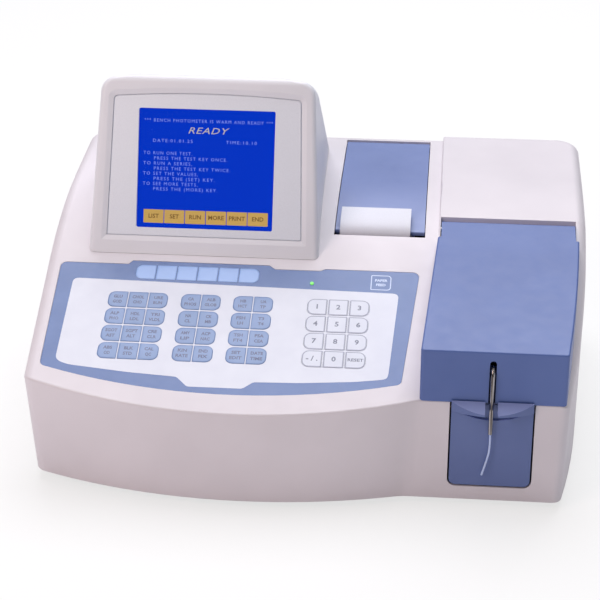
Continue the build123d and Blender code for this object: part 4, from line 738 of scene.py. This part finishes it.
def letters(words, height, centre, level, thick=LETTER_THICK, width=None, bold=0.03, **style):
    """Points and faces of a line of text, height tall and width long, its middle at centre.

    Bold widens each stroke by that share of the height. Style holds other settings of a text,
    such as align_x, shear and space_character.
    """
    data = bpy.data.curves.new("lettering", "FONT")
    data.body = words
    data.size = height * EM_PER_HEIGHT
    data.offset = bold * height
    data.resolution_u = 2
    data.extrude = thick / 2
    for name, value in {"align_x": "CENTER", "align_y": "CENTER", **style}.items():
        setattr(data, name, value)
    holder = bpy.data.objects.new("lettering", data)
    bpy.context.collection.objects.link(holder)
    mesh = bpy.data.meshes.new_from_object(holder)
    points = np.empty(len(mesh.vertices) * 3)
    mesh.vertices.foreach_get("co", points)
    points = points.reshape(-1, 3)
    if width is not None:
        points *= (width / np.ptp(points[:, 0]), 1.0, 1.0)
    faces = [list(polygon.vertices) for polygon in mesh.polygons]
    bpy.data.objects.remove(holder)
    bpy.data.curves.remove(data)
    bpy.data.meshes.remove(mesh)
    return points + (*centre, level + thick / 2), faces


print("a capital A has", len(letters("A", 1.0, (0, 0), 0.0)[1]), "faces")

# %% [markdown]
# The test keys are pads embossed in the film, in three groups of four rows. The outer keys of
# each row have round ends. A pad is its outline drawn in towards its centre, ring by ring, and
# each ring stands a little higher.

# %% Test keys
PAD_EDGE = 0.06
TEST_CROWN = 0.12
TEST_SIZE = (15.2, 16.6)
TEST_PITCH = 16.0
TEST_BLOCKS = [(-152.0, 3), (-94.2, 2), (-53.0, 2)]
CROWN_REACH = 0.9


def pillow_mesh(outline, low, edge, crown, rings=5):
    """A pad with a rounded crown: ring k is the outline drawn towards its centre by s,

    and its height is edge + (crown - edge) sqrt(1 - (1 - s)^3), with s from 0 to 0.9.
    """
    outline = np.asarray(outline, dtype=float)
    centre = outline.mean(axis=0)
    count = len(outline)
    shares = np.concatenate([[0.0], np.linspace(0, 1, rings) ** 1.5 * CROWN_REACH])
    heights = edge + (crown - edge) * np.sqrt(1 - (1 - shares) ** 3)
    heights[0] = low
    drawn_in = centre + (outline - centre)[None, :, :] * (1 - shares)[:, None, None]
    points = np.concatenate(
        [drawn_in, np.broadcast_to(heights[:, None, None], (rings + 1, count, 1))], axis=2
    ).reshape(-1, 3)
    index = np.arange((rings + 1) * count).reshape(rings + 1, count)
    following = np.roll(index, -1, axis=1)
    quads = np.stack([index[:-1], following[:-1], following[1:], index[1:]], axis=2)
    faces = quads.reshape(-1, 4).tolist()
    faces += [index[-1].tolist(), index[0][::-1].tolist()]
    return points, faces


test_places = [
    (key_centre(left, TEST_PITCH, column, row), column, columns)
    for row in range(4)
    for left, columns in TEST_BLOCKS
    for column in range(columns)
]
test_pads = [
    (
        *pillow_mesh(
            rounded_outline(centre, TEST_SIZE, end_radii(column, columns)),
            FIELD_TOP, FIELD_TOP + PAD_EDGE, TEST_CROWN,
        ),
        0,
    )
    for centre, column, columns in test_places
]
make_piece("test_keys", test_pads, [test_film], on_deck, "case", smooth=True)

# %% [markdown]
# Each test key carries two short words, one over the other. Here they are plain codes of
# common laboratory tests. A long word is squeezed to stay inside its pad.

# %% Words on the test keys
TEST_CODES = [
    "ABS/OD", "BLK/STD", "CAL/QC", "KIN/RATE", "END/FIX", "SET/EDIT", "DATE/TIME",
    "SGOT/AST", "SGPT/ALT", "CRE/CLR", "AMY/LIP", "ACP/NAC", "TSH/FT4", "PSA/CEA",
    "ALP/PHO", "HDL/LDL", "TRI/VLDL", "NA/CL", "CK/MB", "FSH/LH", "T3/T4",
    "GLU/GOD", "CHOL/CHO", "URE/BUN", "CA/PHOS", "ALB/GLOB", "HB/HCT", "UA/TP",
]
WORD_HEIGHT = 2.9
WORD_RISE = 2.7
WORD_LEVEL = 0.125
LETTER_WIDTH = 2.35
WIDEST_WORD = 11.6
word_parts = []
for (centre, _, _), codes in zip(test_places, TEST_CODES):
    for words, rise in zip(codes.split("/"), (WORD_RISE, -WORD_RISE)):
        place = (centre[0], centre[1] + rise)
        width = min(LETTER_WIDTH * len(words), WIDEST_WORD)
        word = letters(words, WORD_HEIGHT, place, WORD_LEVEL, width=width, bold=0.05)
        word_parts.append((*word, 0))
make_piece("test_key_words", word_parts, [word_ink], on_deck, "case")

# %% [markdown]
# The six keys over the field have no words: the screen names them. They form one strip with
# round ends.

# %% Strip keys
STRIP_LEFT = -133.9
STRIP_PITCH = 16.57
STRIP_V = 121.0
STRIP_SIZE = (15.8, 15.4)
STRIP_CROWN = 0.05
STRIP_COUNT = 6
strip_pads = [
    (
        *pillow_mesh(
            rounded_outline(
                (STRIP_LEFT + column * STRIP_PITCH, STRIP_V),
                STRIP_SIZE,
                end_radii(column, STRIP_COUNT),
            ),
            FILM_TOP, FILM_TOP + PAD_EDGE, STRIP_CROWN,
        ),
        0,
    )
    for column in range(STRIP_COUNT)
]
make_piece("strip_keys", strip_pads, [strip_film], on_deck, "case", smooth=True)

# %% [markdown]
# The paper key at the right is only a pale outline with two words. A drawn line is a flat ring
# between two outlines, the inner one smaller by the line's width.

# %% Paper key
LINE_MM = 0.75
FEED_CENTRE = (53.6, 118.8)
FEED_SIZE = (16.0, 16.0)
FEED_RADII = (3.0, 1.0, 1.0, 3.0)
FEED_WORDS = [("PAPER", 2.4), ("FEED", -2.4)]
FEED_HEIGHT = 2.4
SMALLEST_RADIUS = 0.1


def frame_mesh(outer, inner, low, high):
    """A closed ring between two outlines with the same number of points."""
    count = len(outer)
    levels = [
        np.column_stack([outline, np.full(count, height)])
        for outline, height in ((outer, high), (inner, high), (inner, low), (outer, low))
    ]
    ring = np.arange(count)
    following = np.roll(ring, -1)
    faces = []
    for level in range(4):
        here = count * level
        there = count * ((level + 1) % 4)
        corners = [ring + here, following + here, following + there, ring + there]
        faces += np.stack(corners, axis=1).tolist()
    return np.vstack(levels), faces


def drawn_line(centre, size, radii, low, high):
    """A line of LINE_MM just inside a rounded rectangle."""
    inner_size = (size[0] - 2 * LINE_MM, size[1] - 2 * LINE_MM)
    inner_radii = [max(radius - LINE_MM, SMALLEST_RADIUS) for radius in radii]
    outer = rounded_outline(centre, size, radii)
    return frame_mesh(outer, rounded_outline(centre, inner_size, inner_radii), low, high)


feed_parts = [(*drawn_line(FEED_CENTRE, FEED_SIZE, FEED_RADII, FILM_TOP, FILM_TOP + INK_THICK), 0)]
for words, rise in FEED_WORDS:
    place = (FEED_CENTRE[0], FEED_CENTRE[1] + rise)
    feed_parts.append((*letters(words, FEED_HEIGHT, place, FILM_TOP, bold=0.05), 0))
make_piece("paper_key", feed_parts, [pale_ink], on_deck, "case")

# %% [markdown]
# The number keys move, so each print rides on its own key: a thin line round the pad and its
# number in the middle.

# %% Number keys
KEY_NAMES = [["minus", "0", "reset"], ["7", "8", "9"], ["4", "5", "6"], ["1", "2", "3"]]
KEY_WORDS = {"minus": "- / .", "reset": "RESET"}
KEY_TOP = 0.1
KEY_INK = 0.04
KEY_LINE_SIZE = (KEY_SIZE[0] - 0.2, KEY_SIZE[1] - 0.2)
DIGIT_HEIGHT = 4.6
RESET_HEIGHT = 2.8
RESET_WIDTH = 12.0
for row, names in enumerate(KEY_NAMES):
    for column, name in enumerate(names):
        centre = key_centre(KEY_LEFT, KEY_PITCH, column, row)
        radii = end_radii(column, 3)
        edge = drawn_line(centre, KEY_LINE_SIZE, radii, KEY_TOP, KEY_TOP + KEY_INK)
        words = KEY_WORDS.get(name, name)
        height = RESET_HEIGHT if name == "reset" else DIGIT_HEIGHT
        width = RESET_WIDTH if name == "reset" else None
        number = letters(words, height, centre, KEY_TOP, width=width, bold=0.04)
        parts = [(*edge, 0), (*number, 1)]
        inks = [key_ink, digit_ink]
        make_piece(f"print_{name}", parts, inks, on_deck, f"key_{name}")

# %% [markdown]
# ## The end of the printed strip
# The paper comes up through the slot in front of the printer's cover and bends back over it,
# so it lies nearly parallel to the cover and catches the light from above. Its side view is one
# cubic Bezier, and the sheet is that curve with a thickness, carried over the paper's width.

# %% Paper end
PAPER_EDGES = (17.2, 74.2)
PAPER_THICK = 0.3
PAPER_CURVE = [(4.6, 147.0), (0.9, 161.0), (8.0, 164.0), (31.0, 168.8)]
PAPER_STEPS = 40


def bezier(corners, count):
    """Points (1-t)^3 a + 3 (1-t)^2 t b + 3 (1-t) t^2 c + t^3 d for t from 0 to 1."""
    t = np.linspace(0, 1, count)[:, None]
    a, b, c, d = np.asarray(corners, dtype=float)
    return (1 - t) ** 3 * a + 3 * (1 - t) ** 2 * t * b + 3 * (1 - t) * t**2 * c + t**3 * d


def strip_mesh(profile, edges, thick):
    """A closed sheet: the profile moved by half the thickness along its normal, both ways."""
    along = np.gradient(profile, axis=0)
    normal = np.stack([-along[:, 1], along[:, 0]], axis=1)
    normal /= np.linalg.norm(normal, axis=1)[:, None]
    above = profile + normal * thick / 2
    below = profile - normal * thick / 2
    corners = [(edges[0], above), (edges[1], above), (edges[1], below), (edges[0], below)]
    sides = [np.column_stack([np.full(len(side), x), side]) for x, side in corners]
    index = np.arange(4 * len(profile)).reshape(4, -1)
    following = np.roll(index, -1, axis=0)
    quads = np.stack([index[:, :-1], following[:, :-1], following[:, 1:], index[:, 1:]], axis=2)
    ends = [index[::-1, 0].tolist(), index[:, -1].tolist()]
    return np.vstack(sides), quads.reshape(-1, 4).tolist() + ends


def on_case(points):
    """Millimetres from the middle of the deck to a place in the frame."""
    return (np.asarray(points) + ORIGIN_SHIFT) * MM


sheet = strip_mesh(bezier(PAPER_CURVE, PAPER_STEPS), PAPER_EDGES, PAPER_THICK)
paper_end = make_piece(
    "printed_strip", [(*sheet, 0)], [thermal_paper], on_case, "printer_cover"
)
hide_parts("paper_strip")

# %% [markdown]
# ## What the screen shows
# The screen is a blue picture with pale words and a row of amber boxes that name the six keys
# below it. The picture lies on the screen module, just behind the window, and glows a little.
# A point on the pod is given by u to the right, s up the leaning face and n out of it.

# %% Places on the pod's face
POD_X = -90.7
POD_FOOT = (-28.5, 145.0)
POD_LEAN = math.radians(20.0)


def on_pod(points):
    """(u, s, n) to (x, y, z): s runs up the leaning face and n stands out of it."""
    u, s, n = np.asarray(points, dtype=float).T
    y = POD_FOOT[0] + s * math.sin(POD_LEAN) - n * math.cos(POD_LEAN)
    z = POD_FOOT[1] + s * math.cos(POD_LEAN) + n * math.sin(POD_LEAN)
    return (np.stack([POD_X + u, y, z], axis=1) + ORIGIN_SHIFT) * MM


print("the pod leans back by", round(math.degrees(POD_LEAN)), "degrees")

# %% [markdown]
# A lit screen sends out light of its own, so its finish has a little emission. Seen very close
# it is made of square dots; they are drawn 0.5 mm apart, coarser than real, to show at all.

# %% Screen finishes
DOTS_PER_MM = 2.0
DOT_EDGE = {"From Min": 0.3, "From Max": 0.5}
GAP_SHARE = 0.86
UNLIT_SHARE = 0.12


def dimmed(colour, share):
    """The same colour with only a share of its light."""
    return [value * share for value in colour[:3]] + [1.0]


def screen_light(name, code):
    """A lit colour, a little dimmer towards the edge of each square dot."""
    lit = linear(code)
    settings = {"Roughness": 0.4, "Specular IOR Level": 0.0, "Emission Strength": 1.0}
    material = shade(name, {**settings, "Base Color": dimmed(lit, UNLIT_SHARE)})
    dots = add(
        material,
        "ShaderNodeTexVoronoi",
        {"Scale": DOTS_PER_MM, "Randomness": 0.0, "distance": "CHEBYCHEV"},
        {"Vector": place_in_mm(material)},
    )
    edge = add(material, "ShaderNodeMapRange", DOT_EDGE, {"Value": dots.outputs["Distance"]})
    tones = {"data_type": "RGBA", 6: lit, 7: dimmed(lit, GAP_SHARE)}
    colour = add(material, "ShaderNodeMix", tones, {"Factor": edge.outputs["Result"]})
    link(material, colour.outputs[2], "Emission Color")
    return material


screen_blue = screen_light("screen_blue", "#0636C4")
screen_words = screen_light("screen_pale_words", "#8399E8")
screen_title = screen_light("screen_title", "#BFB8AC")
screen_amber = screen_light("screen_amber", "#CBA45C")
screen_brown = screen_light("screen_brown_words", "#7A5A30")
print("screen finishes", sum(m.name.startswith("screen_") for m in bpy.data.materials))

# %% [markdown]
# The words are generic: a heading, the date and time, a short list of instructions, and the
# names of the six keys in amber boxes. Places on the picture are shares of its height and
# width, counted from its top left corner.

# %% Screen picture
SCREEN_SIZE = (110.0, 95.6)
SCREEN_MIDDLE = 69.4
PICTURE_LOW = -5.29
PICTURE_HIGH = PICTURE_LOW + 0.02
PICTURE_MARGIN = 4.0
DOT_THICK = 0.01
LINES = [
    (0.10, 0.035, "*** BENCH PHOTOMETER IS WARM AND READY ***"),
    (0.27, 0.10, "DATE:01.01.25"),
    (0.27, 0.64, "TIME:10.10"),
    (0.375, 0.035, "TO RUN ONE TEST,"),
    (0.418, 0.112, "PRESS THE TEST KEY ONCE."),
    (0.461, 0.035, "TO RUN A SERIES,"),
    (0.504, 0.112, "PRESS THE TEST KEY TWICE."),
    (0.547, 0.035, "TO SET THE VALUES,"),
    (0.590, 0.112, "PRESS THE (SET) KEY."),
    (0.633, 0.035, "TO SEE MORE TESTS,"),
    (0.676, 0.112, "PRESS THE (MORE) KEY."),
]
LETTER_SHARE = 0.0225
LINE_STYLE = {"thick": DOT_THICK, "bold": 0.0, "align_x": "LEFT", "space_character": 1.3}
TITLE_STYLE = {
    "thick": DOT_THICK, "bold": 0.0, "width": 33.0, "shear": 0.3, "space_character": 1.1,
}


def plate_mesh(outline, low, high):
    """A closed plate between two heights: two copies of a counterclockwise outline and quads."""
    outline = np.asarray(outline, dtype=float)
    count = len(outline)
    top = np.column_stack([outline, np.full(count, high)])
    bottom = np.column_stack([outline, np.full(count, low)])
    ring = np.arange(count)
    following = np.roll(ring, -1)
    sides = np.stack([ring, ring + count, following + count, following], axis=1)
    faces = [ring.tolist(), (ring + count)[::-1].tolist()] + sides.tolist()
    return np.vstack([top, bottom]), faces


def screen_place(across_share, down_share):
    """A place on the picture, from shares of its width and height."""
    u = (across_share - 0.5) * SCREEN_SIZE[0]
    s = SCREEN_MIDDLE + (0.5 - down_share) * SCREEN_SIZE[1]
    return u, s


picture_size = (SCREEN_SIZE[0] + PICTURE_MARGIN, SCREEN_SIZE[1] + PICTURE_MARGIN)
picture = rounded_outline((0, SCREEN_MIDDLE), picture_size, (1, 1, 1, 1))
screen_parts = [(*plate_mesh(picture, PICTURE_LOW, PICTURE_HIGH), 0)]
for down, across_share, words in LINES:
    place = screen_place(across_share, down)
    width = LETTER_SHARE * len(words) * SCREEN_SIZE[0]
    line = letters(words, 2.6, place, PICTURE_HIGH, width=width, **LINE_STYLE)
    screen_parts.append((*line, 1))
title = letters("READY", 5.0, screen_place(0.5, 0.18), PICTURE_HIGH, **TITLE_STYLE)
screen_parts.append((*title, 2))
print("parts of the picture", len(screen_parts))

# %% [markdown]
# The amber boxes stand in a row along the lower edge, and their words are a dark brown.

# %% Boxes that name the keys
BOX_NAMES = ["LIST", "SET", "RUN", "MORE", "PRINT", "END"]
BOX_LEFT = 0.045
BOX_PITCH = 0.1535
BOX_DOWN = 0.905
BOX_SIZE = (16.3, 10.8)
BOX_RADII = (0.3, 0.3, 0.3, 0.3)
BOX_TOP = PICTURE_HIGH + DOT_THICK
for index, words in enumerate(BOX_NAMES):
    place = screen_place(BOX_LEFT + BOX_PITCH * (index + 0.5), BOX_DOWN)
    box = rounded_outline(place, BOX_SIZE, BOX_RADII, 2)
    screen_parts.append((*plate_mesh(box, PICTURE_HIGH, BOX_TOP), 3))
    screen_parts.append((*letters(words, 3.3, place, BOX_TOP, DOT_THICK), 4))
screen_colours = [screen_blue, screen_words, screen_title, screen_amber, screen_brown]
make_piece("screen_picture", screen_parts, screen_colours, on_pod, "case")

# %% [markdown]
# ## Floor, light and surroundings
# A wide pale floor runs far behind the object. It keeps the object's shadow, and it is partly
# lit by itself for the camera, so that it comes out nearly white without more light on the
# object.

# %% Floor
FLOOR_CORNERS = [(-12, -6, 0), (12, -6, 0), (12, 18, 0), (-12, 18, 0)]
FLOOR_GLOW = 0.7
floor_mesh = bpy.data.meshes.new("floor")
floor_mesh.from_pydata(FLOOR_CORNERS, [], [(0, 1, 2, 3)])
floor = bpy.data.objects.new("floor", floor_mesh)
bpy.context.collection.objects.link(floor)
floor_finish = bpy.data.materials.new("pale_floor")
floor_finish.use_nodes = True
floor_finish.node_tree.nodes.clear()
matt = add(floor_finish, "ShaderNodeBsdfDiffuse", {"Color": linear("#F2F2F4")})
white = add(floor_finish, "ShaderNodeEmission", {"Color": (1, 1, 1, 1), "Strength": 1.0})
seen = add(floor_finish, "ShaderNodeLightPath").outputs["Is Camera Ray"]
share = add(floor_finish, "ShaderNodeMath", {"operation": "MULTIPLY", 1: FLOOR_GLOW}, {0: seen})
blend = add(
    floor_finish,
    "ShaderNodeMixShader",
    {},
    {0: share.outputs[0], 1: matt.outputs[0], 2: white.outputs[0]},
)
add(floor_finish, "ShaderNodeOutputMaterial", {}, {"Surface": blend.outputs[0]})
floor_mesh.materials.append(floor_finish)
print("floor corners", len(floor_mesh.vertices))

# %% [markdown]
# The world is a plain soft grey that fills the shadows. To the camera itself it is white, so
# the background stays clean.

# %% World
ROOM_LIGHT = 0.25
world = bpy.data.worlds.new("soft_room")
world.use_nodes = True
world.node_tree.nodes.clear()
bpy.context.scene.world = world
seen = add(world, "ShaderNodeLightPath").outputs["Is Camera Ray"]
ends = {"From Min": 0.0, "From Max": 1.0, "To Min": ROOM_LIGHT, "To Max": 1.0}
level = add(world, "ShaderNodeMapRange", ends, {"Value": seen}).outputs[0]
room = add(world, "ShaderNodeBackground", {"Color": linear("#FFFBFB")}, {"Strength": level})
add(world, "ShaderNodeOutputWorld", {}, {"Surface": room.outputs[0]})
print("room light", ROOM_LIGHT)

# %% [markdown]
# One large soft lamp hangs above and behind the object and lights everything that faces up. A
# small warm one at the left front fills the sides that face the camera. Both are square panels
# that point at the middle of the instrument.

# %% Lamps
def soft_lamp(name, place, target, size, power, code):
    """A square area lamp at place that points at target."""
    data = bpy.data.lights.new(name, "AREA")
    data.shape = "SQUARE"
    data.size = size
    data.energy = power
    data.color = linear(code)[:3]
    lamp = bpy.data.objects.new(name, data)
    direction = Vector(target) - Vector(place)
    lamp.rotation_euler = direction.to_track_quat("-Z", "Y").to_euler()
    lamp.location = place
    bpy.context.collection.objects.link(lamp)
    print(name, "watts", power)


soft_lamp(
    "top_lamp", place=(0.0, 1.0, 2.6), target=(0.0, 0.0, 0.1), size=2.3, power=79.5, code="#FAFAFF"
)
soft_lamp(
    "front_fill", place=(-0.85, -1.15, 1.0), target=(0.0, 0.0, 0.12), size=0.6, power=8.6,
    code="#FFE4DC",
)
bpy.context.scene.view_settings.view_transform = "Standard"
